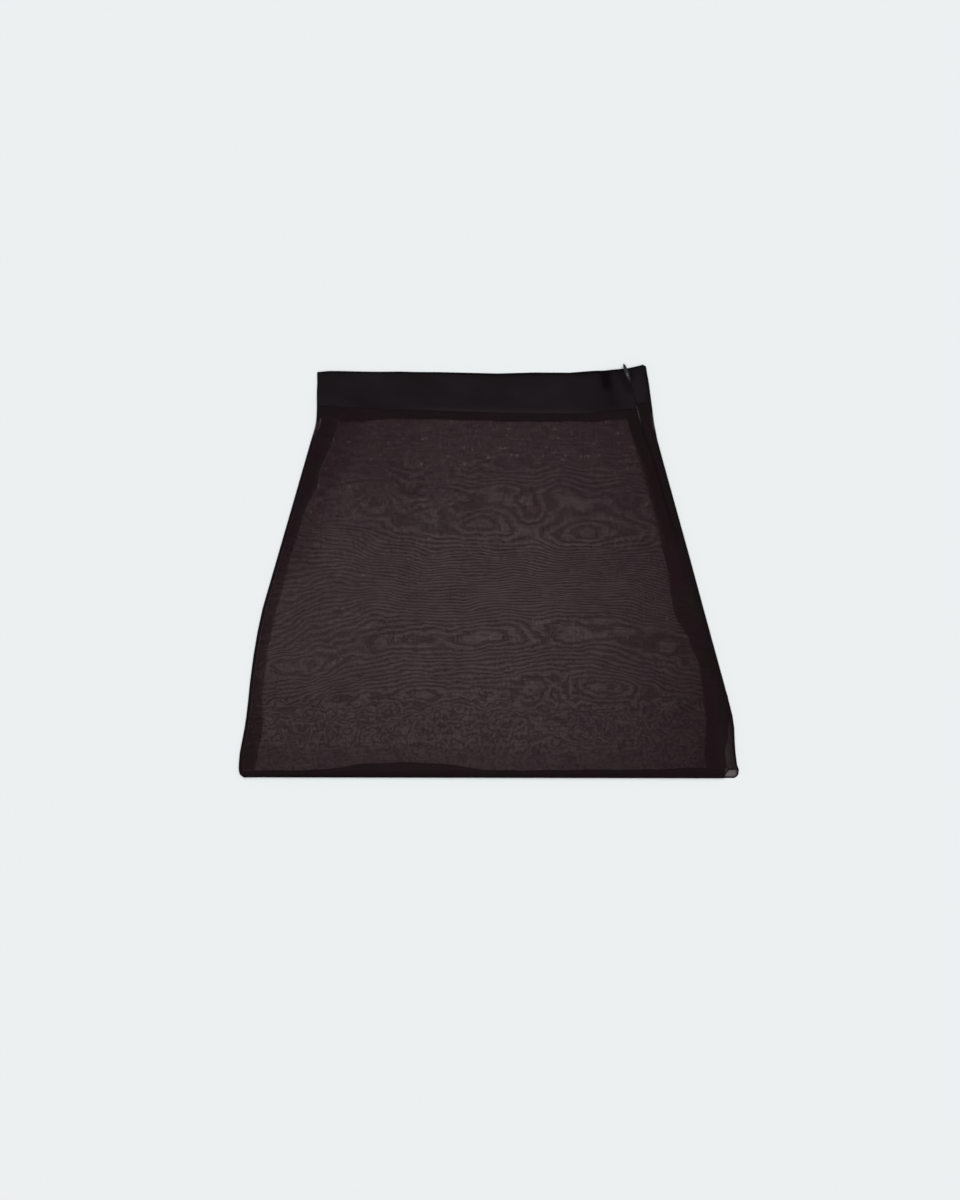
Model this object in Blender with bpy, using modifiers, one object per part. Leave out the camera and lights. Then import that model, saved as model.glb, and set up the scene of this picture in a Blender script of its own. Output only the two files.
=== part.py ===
"""A chiffon mini skirt, laid flat with its front up.

The skirt is a flattened tube: the back lies on the surface, the front lies on the back, and each side is a
fold. The front panel starts at the zip seam, runs over to the left fold and ends just under it. The back
panel starts there, runs along the surface and comes round the right fold as far as the zip seam, because the
right-hand seam has rolled onto the front. Between the two lie the turned hems, the seam allowances and the
zip's tape and coil. The waistband is one strip that goes all the way round, from one zip edge to the other.

Sizes are in millimetres. x runs to the wearer's left (the viewer's right), a height is measured from the hem
towards the waist, and z is up from the surface.
"""

import math
from collections import namedtuple

import bmesh
import bpy
import numpy as np

MM = 0.001

# Driving dimensions
CLOTH = 1.0                # wall of the chiffon and of the zip's tape
BAND = 1.2                 # wall of the waistband
GAP = 0.3                  # left between two pieces that meet
LAYER = CLOTH + GAP        # what one hidden layer adds to the height of the front
LENGTH = 414.0             # from the hem to the tip of the pull tab
HEM_TILT = 1 / 500         # the hem rises this much to the left
HEM_MIDDLE = 0.75          # height of the hem's edge on the centre line
BACK_HEM_DEPTH = 7.0       # depth of the back's turned hem
BACK_WAIST_DEPTH = 8.0     # depth of the back's allowance under the waistband
HEM_INSET = 0.2            # the turned hems stay this far inside the edge
BAND_RISE = 6.0            # what runs up into the waistband rises over this stretch

# The zip
TAPE_HALF = 12.5           # half the width of the two tapes together
COIL_HALF = 1.5            # half the width of the closed coil
COIL_ROOM = 2.2            # clear of the coil on each side of the seam
ZIP_END = 247.0            # height of the coil's lower end
TAPE_END = 233.0           # height of the tape's lower end
TAPE_TOP = 405.0           # height of the tape's upper end
FOLD_ROOM = 2.7            # what lies between the panels stays this far in from a side fold
SEAM_UNDER = 1.5           # the front ends this far past the left fold, on the underside

# The zip's slider and its pull tab
SLIDER_HEIGHT = 398.0      # height of the hinge above the hem
SLIDER_TURN = math.radians(20)     # the slider follows the slanting seam
SLIDER_SIZE = (5.2, 7.8)   # width and length of the body, under the waistband
SLIDER_TAPER = 0.8         # its lower end is narrower
PULL_LENGTH = 17.0         # from the hinge to the tip
PULL_WALL = 0.8            # thickness of the tab
PULL_BAR = 0.8             # width of the bars round the tab's eye
PULL_RAISE = math.radians(4)       # the tab lies on the waistband's edge, so its tip is up
EYE_WIDTH = 1.8            # clear width of the eye, round the bridge
EYE_LENGTH = 3.7           # from the hinge to the eye's far end
EYE_CORNER = 0.4
BRIDGE_WIDTH = 1.0
BRIDGE_HALF = 3.2          # half the length of the bridge
BRIDGE_LEG = 1.0           # length of each of its legs
BRIDGE_TOP = 0.8           # thickness of its top
COIL_END = 1.2             # between the slider's body and the coil
SMALL_ROUND = 0.25         # rounded edges of the coil and the slider
CORNER = 0.6               # cut corners of the bridge

# How the front comes down beside what lies under it
PLATEAU = 2.0              # it stays level this far past the hidden layer's edge
HEM_SLOPE = 26.0           # above the hem
WAIST_SLOPE = 30.0         # below the waist seam
BAND_SLOPE = 36.0          # up the waistband
SIDE_SLOPE = 22.0          # beside the side seams' allowances
ZIP_SLOPE = 12.0           # in the waistband, beside the zip, where it is steeper
TAPE_SLOPE = 36.0          # down the seam, past the end of the tape

# The outline: where the left and the right fold are at each height
Outline = namedtuple("Outline", "height left right")
OUTLINE = [
    Outline(0.0, -243.0, 246.9),
    Outline(2.3, -246.4, 248.5),
    Outline(4.3, -248.9, 249.3),
    Outline(8.3, -249.9, 249.9),
    Outline(14.0, -249.9, 247.9),
    Outline(26.0, -248.9, 246.5),
    Outline(38.0, -246.5, 245.7),
    Outline(50.0, -244.2, 245.3),
    Outline(62.0, -242.4, 243.6),
    Outline(74.0, -241.0, 240.6),
    Outline(98.0, -238.5, 234.2),
    Outline(122.0, -235.3, 227.6),
    Outline(146.0, -231.3, 221.0),
    Outline(170.0, -226.1, 214.5),
    Outline(218.0, -212.2, 201.5),
    Outline(266.0, -198.3, 188.2),
    Outline(314.0, -184.5, 174.9),
    Outline(338.0, -177.6, 168.4),
    Outline(352.0, -173.5, 165.7),
    Outline(360.0, -172.2, 164.5),
    Outline(371.0, -171.8, 163.1),
    Outline(384.0, -171.9, 161.3),
    Outline(396.0, -171.5, 159.7),
    Outline(404.0, -171.6, 158.2),
    Outline(414.0, -171.6, 156.6),
]

# The zip seam: how far the back comes round onto the front, and how far the seam's two edges stand apart
Seam = namedtuple("Seam", "height wrap opening")
SEAM = [
    Seam(0.0, 3.6, 0.3),
    Seam(178.0, 4.2, 0.3),
    Seam(218.0, 6.0, 0.3),
    Seam(247.0, 7.6, 0.3),
    Seam(253.0, 8.5, 0.3),
    Seam(317.0, 8.9, 0.3),
    Seam(337.0, 11.5, 0.3),
    Seam(352.0, 13.2, 0.4),
    Seam(359.0, 13.8, 1.5),
    Seam(371.0, 15.2, 1.5),
    Seam(377.0, 16.0, 0.6),
    Seam(387.0, 17.6, 0.6),
    Seam(393.0, 18.5, 2.4),
    Seam(414.0, 21.3, 2.4),
]

# The allowances of the two side seams, pressed towards the middle: their widths at each height
Allowance = namedtuple("Allowance", "height left right")
ALLOWANCE = [
    Allowance(8.0, 16.0, 27.0),
    Allowance(28.0, 19.7, 27.0),
    Allowance(45.0, 18.0, 24.0),
    Allowance(78.0, 14.8, 20.0),
    Allowance(111.0, 13.2, 18.0),
    Allowance(145.0, 15.2, 17.0),
    Allowance(178.0, 13.0, 20.0),
    Allowance(228.0, 14.5, 17.8),
    Allowance(274.0, 12.9, 15.0),
    Allowance(290.0, 16.8, 15.0),
    Allowance(320.0, 17.2, 14.5),
    Allowance(351.0, 22.0, 10.5),
]

# The waist seam of the front: its height, and how deep the allowance under it reaches
Waist = namedtuple("Waist", "x height depth")
WAIST = [
    Waist(-171.8, 371.3, 11.0),
    Waist(-153.0, 371.3, 14.0),
    Waist(-143.0, 370.8, 15.0),
    Waist(-126.0, 370.0, 13.0),
    Waist(-104.0, 369.0, 10.5),
    Waist(-86.0, 368.2, 9.0),
    Waist(31.0, 364.5, 8.0),
    Waist(101.0, 364.3, 8.0),
    Waist(137.0, 368.3, 9.5),
    Waist(148.7, 368.3, 9.5),
]
WRAP_WAIST = [              # right of the zip the seam is a little higher
    Waist(148.7, 372.8, 9.5),
    Waist(163.1, 375.3, 9.5),
]

# The waistband's upper edge, in front and at the back, where it looks over the front's
BandEdge = namedtuple("BandEdge", "x front back")
BAND_EDGE = [
    BandEdge(-171.6, 406.0, 406.0),
    BandEdge(-159.0, 407.1, 406.8),
    BandEdge(-111.0, 406.4, 406.2),
    BandEdge(-87.0, 406.6, 406.4),
    BandEdge(-50.0, 405.4, 406.2),
    BandEdge(9.0, 403.6, 404.8),
    BandEdge(45.0, 404.5, 405.8),
    BandEdge(81.0, 404.4, 405.6),
    BandEdge(105.0, 406.4, 407.5),
    BandEdge(117.0, 407.6, 407.8),
    BandEdge(139.0, 409.7, 409.2),
    BandEdge(151.0, 412.4, 411.6),
    BandEdge(154.5, 413.6, 412.6),
    BandEdge(157.5, 411.6, 411.6),
]

# The front's turned hem
Hem = namedtuple("Hem", "x depth")
HEM = [
    Hem(-249.9, 6.0),
    Hem(-199.0, 6.3),
    Hem(-179.0, 10.3),
    Hem(-139.0, 14.3),
    Hem(-89.0, 15.3),
    Hem(-49.0, 14.3),
    Hem(1.0, 7.3),
    Hem(151.0, 8.3),
    Hem(211.0, 10.3),
    Hem(249.9, 9.0),
]

# Where the front stands a little off the back
Swell = namedtuple("Swell", "x height half_width half_height lift")
SWELLS = [
    Swell(-118, 262, 62, 84, 0.9),
    Swell(22, 312, 84, 38, 0.6),
    Swell(104, 206, 46, 74, 1.1),
    Swell(-36, 168, 78, 46, 0.8),
    Swell(-158, 104, 52, 58, 1.0),
    Swell(128, 84, 64, 36, 0.9),
    Swell(14, 62, 66, 30, 0.7),
]

# The pull tab: half its width along its length
Pull = namedtuple("Pull", "along half_width")
PULL = [
    Pull(-0.4, 1.3),
    Pull(0.2, 1.7),
    Pull(4.0, 1.7),
    Pull(6.5, 1.9),
    Pull(9.5, 1.85),
    Pull(12.5, 1.55),
    Pull(15.0, 1.1),
    Pull(16.5, 0.6),
]

# Heights of the panels' rows and shares of the waistband's
PANEL_ROWS = (0, 2.3, 4.5, 8.5, 14, 19, 27, 38, 50, 62, 74, 98, 122, 146, 170, 194, 218, 240, 266, 290,
              314, 330, 342, 352, 360, 371)
BAND_ROWS = (0, 0.09, 0.2, 0.35, 0.5, 0.62, 0.72, 0.86, 1.0)
FOLD_STEPS = 6             # segments round a side fold
MIDDLE_COLUMNS = 11        # columns of the front between the two sides' bulk
BACK_COLUMNS = 12
SLOPE_STEPS = (2.0, 9.0, 16.0, 24.0)     # columns where the front comes down beside the bulk at its sides


def read(table, key, column, place):
    """The table's column at a place between its rows."""
    places = [getattr(row, key) for row in table]
    values = [getattr(row, column) for row in table]
    return float(np.interp(place, places, values))


def left_edge(height):
    return read(OUTLINE, "height", "left", height)


def right_edge(height):
    return read(OUTLINE, "height", "right", height)


def seam_x(height):
    return right_edge(height) - read(SEAM, "height", "wrap", height)


def seam_half(height):
    return read(SEAM, "height", "opening", height) / 2


def left_width(height):
    return read(ALLOWANCE, "height", "left", height)


def right_width(height):
    return read(ALLOWANCE, "height", "right", height)


def hem_edge(x):
    return HEM_MIDDLE - HEM_TILT * x


def hem_depth(x):
    return read(HEM, "x", "depth", x)


def front_waist(x):
    return read(WAIST, "x", "height", x)


def wrap_waist(x):
    return read(WRAP_WAIST, "x", "height", x)


def waist_depth(x):
    return read(WAIST, "x", "depth", x)


def back_waist(x):
    """The waist seam of the back runs straight from one fold to the other."""
    return read([WAIST[0], WRAP_WAIST[-1]], "x", "height", x)


def front_band_edge(x):
    return read(BAND_EDGE, "x", "front", x)


def back_band_edge(x):
    return read(BAND_EDGE, "x", "back", x)


def fade(distance, full, gone):
    """1 up to the distance full, then smoothly down to 0 at full + gone."""
    share = min(max((distance - full) / gone, 0.0), 1.0)
    return 1 - share * share * (3 - 2 * share)


def zip_layers(height):
    """Hidden layers beside the right-hand seam: two as far down as the tape, one below it."""
    return 1 + fade(TAPE_END - height, 0, TAPE_SLOPE)


def zip_width(height):
    """How far the hidden layers reach to the left of the right-hand seam."""
    if height > TAPE_END:
        return max(right_width(height), TAPE_HALF)
    return right_width(height)


def lift(x, height):
    """How far the hidden layers hold the front up at a place."""
    waist = front_waist(x) if x < WAIST[-1].x else wrap_waist(x)
    in_band = height > waist
    hem = 2 * fade(height - hem_edge(x), hem_depth(x) + PLATEAU, HEM_SLOPE)
    if in_band:
        top = 2 * fade(height - waist, PLATEAU, BAND_SLOPE)
    else:
        top = 2 * fade(waist - height, waist_depth(x) + PLATEAU, WAIST_SLOPE)
    left = fade(x - left_edge(height), left_width(height) + PLATEAU, SIDE_SLOPE)
    from_seam = seam_x(height) - x
    right = zip_layers(height) * fade(from_seam, zip_width(height) + PLATEAU,
                                      ZIP_SLOPE if in_band else SIDE_SLOPE)
    swell = 0.0 if in_band else sum(row.lift * fade(swell_reach(row, x, height), 0, 1) for row in SWELLS)
    return LAYER * max(hem, top, left, right) + swell


def swell_reach(row, x, height):
    """0 in the middle of a swell, 1 at its edge."""
    return math.hypot((x - row.x) / row.half_width, (height - row.height) / row.half_height)


def row_height(x, share, lower, upper):
    return lower(x) + share * (upper(x) - lower(x))


def settle(column, share, lower, upper):
    """A column's place in a row. The row's height depends on x, and x on the height."""
    height = row_height(column(lower(0)), share, lower, upper)
    for _ in range(3):
        height = row_height(column(height), share, lower, upper)
    return column(height), height


def fold_radius(x, height):
    """Radius of a side fold, along the middle of its wall."""
    return (LAYER + lift(x, height)) / 2


def grid_object(name, rows, wall, material, collection):
    """A cloth piece: a grid drawn over the rows of points, with the wall's thickness about it."""
    columns = len(rows[0])
    work = bmesh.new()
    bmesh.ops.create_grid(work, x_segments=columns - 1, y_segments=len(rows) - 1, size=1)
    for vertex in work.verts:
        column = round((vertex.co.x + 1) / 2 * (columns - 1))
        row = round((vertex.co.y + 1) / 2 * (len(rows) - 1))
        x, height, z = rows[row][column]
        vertex.co = (x * MM, (height - LENGTH / 2) * MM, z * MM)
    mesh = bpy.data.meshes.new(name)
    work.to_mesh(mesh)
    work.free()
    piece = bpy.data.objects.new(name, mesh)
    collection.objects.link(piece)
    mesh.materials.append(material)
    solidify = piece.modifiers.new("wall", "SOLIDIFY")
    solidify.thickness = wall * MM
    solidify.offset = 0
    solidify.use_even_offset = True
    mesh.shade_smooth()
    return piece


def even(start, end, count):
    return [start + (end - start) * step / (count - 1) for step in range(count)]


def front_columns(wall):
    """Columns of the front, as functions of the height, from the seam to the left fold."""
    columns = [lambda height: seam_x(height) - seam_half(height)]
    columns.append(lambda height: seam_x(height) - right_width(height) / 2)
    for step in SLOPE_STEPS:
        columns.append(lambda height, step=step: seam_x(height) - max(right_width(height), TAPE_HALF) - step)
    left = [left_fold_start(wall, 0)]
    left.append(lambda height: left_edge(height) + left_width(height) / 2)
    for step in SLOPE_STEPS:
        left.append(lambda height, step=step: left_edge(height) + left_width(height) + step)
    first, last = columns[-1], left[-1]
    for share in even(0, 1, MIDDLE_COLUMNS + 2)[1:-1]:
        columns.append(lambda height, share=share: first(height) + share * (last(height) - first(height)))
    return columns + left[::-1]


def top_point(column, share, lower, upper, wall):
    """A point of the front's or the wrap's wall, in the middle of its thickness."""
    x, height = settle(column, share, lower, upper)
    return (x, height, wall + GAP + lift(x, height) + wall / 2)


def under_point(column, share, lower, upper, wall):
    """A point of the wall that lies on the surface."""
    x, height = settle(column, share, lower, upper)
    return (x, height, wall / 2)


def fold_points(side, share, lower, upper, wall):
    """The side fold's wall, from its top round to its underside, without its two ends."""
    edge = left_edge if side < 0 else right_edge
    points = []
    for step in range(1, FOLD_STEPS):
        angle = math.pi * step / FOLD_STEPS

        def column(height, angle=angle):
            radius = fold_radius(edge(height) - side * FOLD_ROOM, height)
            return edge(height) - side * (wall / 2 + radius * (1 - math.sin(angle)))

        x, height = settle(column, share, lower, upper)
        radius = fold_radius(edge(height) - side * FOLD_ROOM, height)
        points.append((x, height, wall / 2 + radius * (1 + math.cos(angle))))
    return points


def right_fold_start(wall):
    return lambda height: right_edge(height) - wall / 2 - fold_radius(right_edge(height) - FOLD_ROOM, height)


def left_fold_start(wall, inward):
    return lambda height: (left_edge(height) + wall / 2 + inward
                           + fold_radius(left_edge(height) + FOLD_ROOM, height))


def wrap_columns(wall):
    """Columns of the back where it lies on top, from the seam to the right fold."""
    def seam_side(height):
        return seam_x(height) + seam_half(height)

    fold = right_fold_start(wall)
    return [lambda height, share=share: seam_side(height) + share * (fold(height) - seam_side(height))
            for share in even(0, 1, 3)]


def under_columns(start, end, count):
    """Columns of the wall that lies on the surface."""
    return [lambda height, share=share: start(height) + share * (end(height) - start(height))
            for share in even(0, 1, count)]


def moved(edge, distance):
    """An edge, as a function of x, moved towards the waist."""
    return lambda x: edge(x) + distance


def front_panel(material, collection):
    columns = front_columns(CLOTH)
    under = under_columns(left_fold_start(CLOTH, 0), left_fold_start(CLOTH, SEAM_UNDER), 2)
    upper = moved(front_waist, -GAP / 2)
    rows = []
    for row in PANEL_ROWS:
        share = row / PANEL_ROWS[-1]
        points = [top_point(column, share, hem_edge, upper, CLOTH) for column in columns]
        points += fold_points(-1, share, hem_edge, upper, CLOTH)
        points += [under_point(column, share, hem_edge, upper, CLOTH) for column in under]
        rows.append(points)
    return grid_object("front_panel", rows, CLOTH, material, collection)


def back_panel(material, collection):
    start = left_fold_start(CLOTH, SEAM_UNDER + GAP)
    under = under_columns(start, right_fold_start(CLOTH), BACK_COLUMNS)
    wrap = wrap_columns(CLOTH)
    upper = moved(wrap_waist, -GAP / 2)
    behind = moved(back_waist, -GAP / 2)
    rows = []
    for row in PANEL_ROWS:
        share = row / PANEL_ROWS[-1]
        points = [top_point(column, share, hem_edge, upper, CLOTH) for column in wrap]
        points += fold_points(1, share, hem_edge, behind, CLOTH)
        points += [under_point(column, share, hem_edge, behind, CLOTH) for column in under[::-1]]
        rows.append(points)
    return grid_object("back_panel", rows, CLOTH, material, collection)


def waistband(material, collection):
    front = front_columns(BAND)
    start = left_fold_start(BAND, 0)
    under = under_columns(start, right_fold_start(BAND), BACK_COLUMNS)
    wrap = wrap_columns(BAND)[::-1]
    lower = moved(front_waist, GAP / 2)
    wrap_lower = moved(wrap_waist, GAP / 2)
    behind = moved(back_waist, GAP / 2)
    rows = []
    for share in BAND_ROWS:
        points = [top_point(column, share, lower, front_band_edge, BAND) for column in front]
        points += fold_points(-1, share, lower, front_band_edge, BAND)
        points += [under_point(column, share, behind, back_band_edge, BAND) for column in under]
        points += fold_points(1, share, behind, back_band_edge, BAND)[::-1]
        points += [top_point(column, share, wrap_lower, front_band_edge, BAND) for column in wrap]
        rows.append(points)
    return grid_object("waistband", rows, BAND, material, collection)


def strip(name, sides, across, ends, along, layer, material, collection):
    """A strip that lies between the back and the front.

    sides are its left and right sides as functions of the height, ends its lower and upper ends as functions
    of x, and across and along the numbers of points each way. layer(height) is its place above the back,
    where 1 is the first hidden layer.
    """
    left, right = sides
    lower, upper = ends
    rows = []
    for share in even(0, 1, along):
        points = []
        for part in even(0, 1, across):
            x, height = settle(lambda h: left(h) + part * (right(h) - left(h)), share, lower, upper)
            z = LAYER * layer(height) + CLOTH / 2 + band_step(x, height)
            points.append((x, height, z))
        rows.append(points)
    return grid_object(name, rows, CLOTH, material, collection)


def band_step(x, height):
    """What runs up into the waistband rises by its extra thickness."""
    return (BAND - CLOTH) * fade(front_waist(x) - height, 1, BAND_RISE)


def first_layer(height):
    return 1


def second_layer(height):
    return 2


def inside_left(height):
    return left_edge(height) + FOLD_ROOM


def inside_right(height):
    return right_edge(height) - FOLD_ROOM


def hems(material, collection):
    sides = (inside_left, inside_right)
    lower = moved(hem_edge, HEM_INSET)
    strip("front_hem", sides, 24, (lower, lambda x: hem_edge(x) + hem_depth(x)), 4,
          second_layer, material, collection)
    strip("back_hem", sides, 24, (lower, moved(hem_edge, BACK_HEM_DEPTH)), 3,
          first_layer, material, collection)


def waist_allowances(material, collection):
    def beside_tape(height):
        return seam_x(height) - TAPE_HALF - 1

    sides = (inside_left, beside_tape)
    upper = moved(front_waist, -GAP)
    strip("front_waist_allowance", sides, 18, (lambda x: front_waist(x) - waist_depth(x), upper), 3,
          second_layer, material, collection)
    strip("back_waist_allowance", sides, 18, (moved(front_waist, -BACK_WAIST_DEPTH), upper), 3,
          first_layer, material, collection)


def above_hems(x):
    return hem_edge(x) + max(hem_depth(x), BACK_HEM_DEPTH) + GAP


def left_seam_allowance(material, collection):
    def inner(height):
        return left_edge(height) + left_width(height)

    def below_waist(x):
        return front_waist(x) - waist_depth(x) - GAP

    return strip("left_seam_allowance", (inside_left, inner), 3, (above_hems, below_waist), 20,
                 first_layer, material, collection)


def right_seam_allowance(material, collection):
    """The front's edge at the zip seam. Beside the coil it lies on the tape, and below the zip on the back."""
    def inner(height):
        return seam_x(height) - right_width(height)

    def outer(height):
        seam_side = seam_x(height) - GAP - (COIL_ROOM - GAP) * fade(ZIP_END - height, 4, 12)
        return min(seam_side, inside_right(height) - 1)

    return strip("right_seam_allowance", (inner, outer), 3, (above_hems, moved(front_waist, -GAP)), 24,
                 zip_layers, material, collection)


def back_zip_allowance(material, collection):
    """The back's edge at the zip seam, beside the coil."""
    def inner(height):
        return seam_x(height) + COIL_ROOM

    return strip("back_zip_allowance", (inner, inside_right), 3,
                 (lambda x: ZIP_END, moved(wrap_waist, -GAP)), 10, second_layer, material, collection)


def zip_tape(material, collection):
    def left(height):
        return seam_x(height) - TAPE_HALF

    def right(height):
        return min(seam_x(height) + TAPE_HALF, inside_right(height))

    return strip("zip_tape", (left, right), 4, (lambda x: TAPE_END, lambda x: TAPE_TOP), 16,
                 first_layer, material, collection)


def zip_coil(material, collection):
    def left(height):
        return seam_x(height) - COIL_HALF

    def right(height):
        return seam_x(height) + COIL_HALF

    top = SLIDER_HEIGHT - SLIDER_SIZE[1] / 2 - COIL_END
    coil = strip("zip_coil", (left, right), 3, (lambda x: ZIP_END, lambda x: top), 16,
                 second_layer, material, collection)
    rounding(coil)
    coil.modifiers["round"].limit_method = "ANGLE"
    coil.modifiers["round"].angle_limit = math.radians(60)
    return coil


def rounding(piece):
    bevel = piece.modifiers.new("round", "BEVEL")
    bevel.width = SMALL_ROUND * MM
    bevel.segments = 1


def flat_outline(name, loops, wall):
    """A flat piece cut to an outline, with any further loops as its holes, made a closed mesh."""
    curve = bpy.data.curves.new(name, "CURVE")
    curve.dimensions = "2D"
    curve.fill_mode = "BOTH"
    curve.extrude = wall / 2 * MM
    for points in loops:
        spline = curve.splines.new("POLY")
        spline.points.add(len(points) - 1)
        for point, (x, y) in zip(spline.points, points):
            point.co = (x * MM, y * MM, 0, 1)
        spline.use_cyclic_u = True
    maker = bpy.data.objects.new(name + "_outline", curve)
    bpy.context.scene.collection.objects.link(maker)
    bpy.context.view_layer.update()
    graph = bpy.context.evaluated_depsgraph_get()
    mesh = bpy.data.meshes.new_from_object(maker.evaluated_get(graph))
    mesh.name = name
    bpy.data.objects.remove(maker)
    work = bmesh.new()
    work.from_mesh(mesh)
    bmesh.ops.remove_doubles(work, verts=work.verts, dist=0.00001)
    work.to_mesh(mesh)
    work.free()
    return mesh


def band_top():
    """Upper surface of the waistband over the zip."""
    return BAND + GAP + 2 * LAYER + BAND


def bar_reach():
    """How far the tab's bar reaches from the hinge's axis."""
    return math.hypot(PULL_BAR, PULL_WALL) / 2


def hinge_z():
    """The tab's bar turns just clear of the waistband."""
    return band_top() + GAP + bar_reach()


def bridge_outline(root):
    """The bridge seen from its side: an arch on two legs that start at the height root."""
    inner = BRIDGE_HALF - BRIDGE_LEG
    hole = hinge_z() + bar_reach() + GAP
    top = hole + BRIDGE_TOP
    outside = [(BRIDGE_HALF, root), (BRIDGE_HALF, top - CORNER), (BRIDGE_HALF - CORNER, top)]
    inside = [(inner, root), (inner, hole - CORNER / 2), (inner - CORNER / 2, hole)]
    return ([(-y, z) for y, z in outside] + outside[::-1] + inside + [(-y, z) for y, z in inside[::-1]])


def zip_slider(material, collection, cutters, frame):
    """The body runs on the coil inside the band; its bridge comes out through the seam and holds the tab."""
    middle = BAND + GAP + LAYER + CLOTH / 2
    bridge_mesh = flat_outline("zip_bridge", [bridge_outline(middle)], BRIDGE_WIDTH)
    bridge = bpy.data.objects.new("zip_bridge", bridge_mesh)
    bridge.rotation_euler = (math.pi / 2, 0, math.pi / 2)
    bridge.parent = frame
    bridge.hide_render = True
    bridge.display_type = "WIRE"
    cutters.objects.link(bridge)

    work = bmesh.new()
    bmesh.ops.create_cube(work, size=1)
    for vertex in work.verts:
        width = SLIDER_SIZE[0] * (SLIDER_TAPER if vertex.co.y < 0 else 1)
        vertex.co = (vertex.co.x * width * MM, vertex.co.y * SLIDER_SIZE[1] * MM,
                     (vertex.co.z * CLOTH + middle) * MM)
    mesh = bpy.data.meshes.new("zip_slider")
    work.to_mesh(mesh)
    work.free()
    mesh.materials.append(material)
    slider = bpy.data.objects.new("zip_slider", mesh)
    slider.parent = frame
    collection.objects.link(slider)
    rounding(slider)
    union = slider.modifiers.new("bridge", "BOOLEAN")
    union.operation = "UNION"
    union.object = bridge
    return slider


def zip_pull(material, collection, frame):
    """A drop-shaped tab with an eye at its narrow end, which hangs on the slider's bridge."""
    side = [(row.half_width, row.along) for row in PULL]
    tip = [(0.0, PULL_LENGTH)]
    outline = side + tip + [(-x, y) for x, y in reversed(side)]
    half = EYE_WIDTH / 2
    right = [(half, PULL_BAR / 2), (half, EYE_LENGTH - EYE_CORNER), (half - EYE_CORNER, EYE_LENGTH)]
    eye = right + [(-x, y) for x, y in right[::-1]]
    mesh = flat_outline("zip_pull", [outline, eye], PULL_WALL)
    mesh.materials.append(material)
    pull = bpy.data.objects.new("zip_pull", mesh)
    pull.location = (0, 0, hinge_z() * MM)
    pull.rotation_euler = (PULL_RAISE, 0, 0)
    pull.parent = frame
    collection.objects.link(pull)
    return pull


def plain_material(name, colour, roughness, metallic=0.0):
    material = bpy.data.materials.new(name)
    material.use_nodes = True
    shader = material.node_tree.nodes["Principled BSDF"]
    shader.inputs["Base Color"].default_value = (*colour, 1)
    shader.inputs["Roughness"].default_value = roughness
    shader.inputs["Metallic"].default_value = metallic
    return material


def new_collection(name):
    collection = bpy.data.collections.new(name)
    bpy.context.scene.collection.children.link(collection)
    return collection


def build():
    for thing in list(bpy.data.objects):
        bpy.data.objects.remove(thing)
    skirt = new_collection("chiffon_mini_skirt")
    cutters = new_collection("cutters")
    chiffon = plain_material("chiffon", (0.035, 0.024, 0.027), 0.8)
    turned = plain_material("turned_edges", (0.013, 0.008, 0.010), 0.8)
    band = plain_material("waistband_cloth", (0.011, 0.009, 0.010), 0.85)
    tape = plain_material("zip_tape_cloth", (0.012, 0.010, 0.011), 0.9)
    nylon = plain_material("zip_nylon", (0.060, 0.050, 0.055), 0.45)
    enamel = plain_material("zip_enamel", (0.030, 0.028, 0.030), 0.35, 0.6)

    back_panel(chiffon, skirt)
    front_panel(chiffon, skirt)
    waistband(band, skirt)
    hems(turned, skirt)
    waist_allowances(turned, skirt)
    left_seam_allowance(turned, skirt)
    right_seam_allowance(turned, skirt)
    back_zip_allowance(turned, skirt)
    zip_tape(tape, skirt)
    zip_coil(nylon, skirt)

    frame = bpy.data.objects.new("zip_slider_place", None)
    frame.location = (seam_x(SLIDER_HEIGHT) * MM, (SLIDER_HEIGHT - LENGTH / 2) * MM, 0)
    frame.rotation_euler = (0, 0, SLIDER_TURN)
    skirt.objects.link(frame)
    zip_slider(enamel, skirt, cutters, frame)
    zip_pull(enamel, skirt, frame)


build()
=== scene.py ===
"""Looks of the chiffon mini skirt, laid flat with its front up.

Each cloth piece is a thin closed skin on the form of its solid: the back on the surface, the front over it,
and between them the turned hems, the seam turnings and the zip. Stitches and the zip's teeth are set out in
rows by Geometry Nodes. The watered pattern is where the weaves of front and back run in and out of step.

Sizes are in millimetres. x runs to the wearer's left (the viewer's right), a height is measured from the hem
towards the waist, and z is up from the surface.
"""

import math
from collections import namedtuple

import bmesh
import bpy
import numpy as np
from mathutils import Matrix


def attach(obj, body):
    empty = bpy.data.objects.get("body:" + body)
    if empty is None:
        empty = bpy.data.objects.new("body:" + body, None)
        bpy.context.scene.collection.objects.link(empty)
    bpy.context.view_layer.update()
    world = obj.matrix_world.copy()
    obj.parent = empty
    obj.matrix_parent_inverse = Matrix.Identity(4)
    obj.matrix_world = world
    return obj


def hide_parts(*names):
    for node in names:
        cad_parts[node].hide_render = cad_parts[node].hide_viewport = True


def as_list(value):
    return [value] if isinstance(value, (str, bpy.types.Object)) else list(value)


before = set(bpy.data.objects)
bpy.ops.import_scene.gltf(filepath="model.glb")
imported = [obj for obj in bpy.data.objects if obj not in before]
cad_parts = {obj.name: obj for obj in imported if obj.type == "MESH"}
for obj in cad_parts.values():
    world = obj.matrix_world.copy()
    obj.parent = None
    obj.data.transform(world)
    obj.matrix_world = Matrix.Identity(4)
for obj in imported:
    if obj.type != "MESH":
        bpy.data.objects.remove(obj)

MM = 0.001

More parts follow.
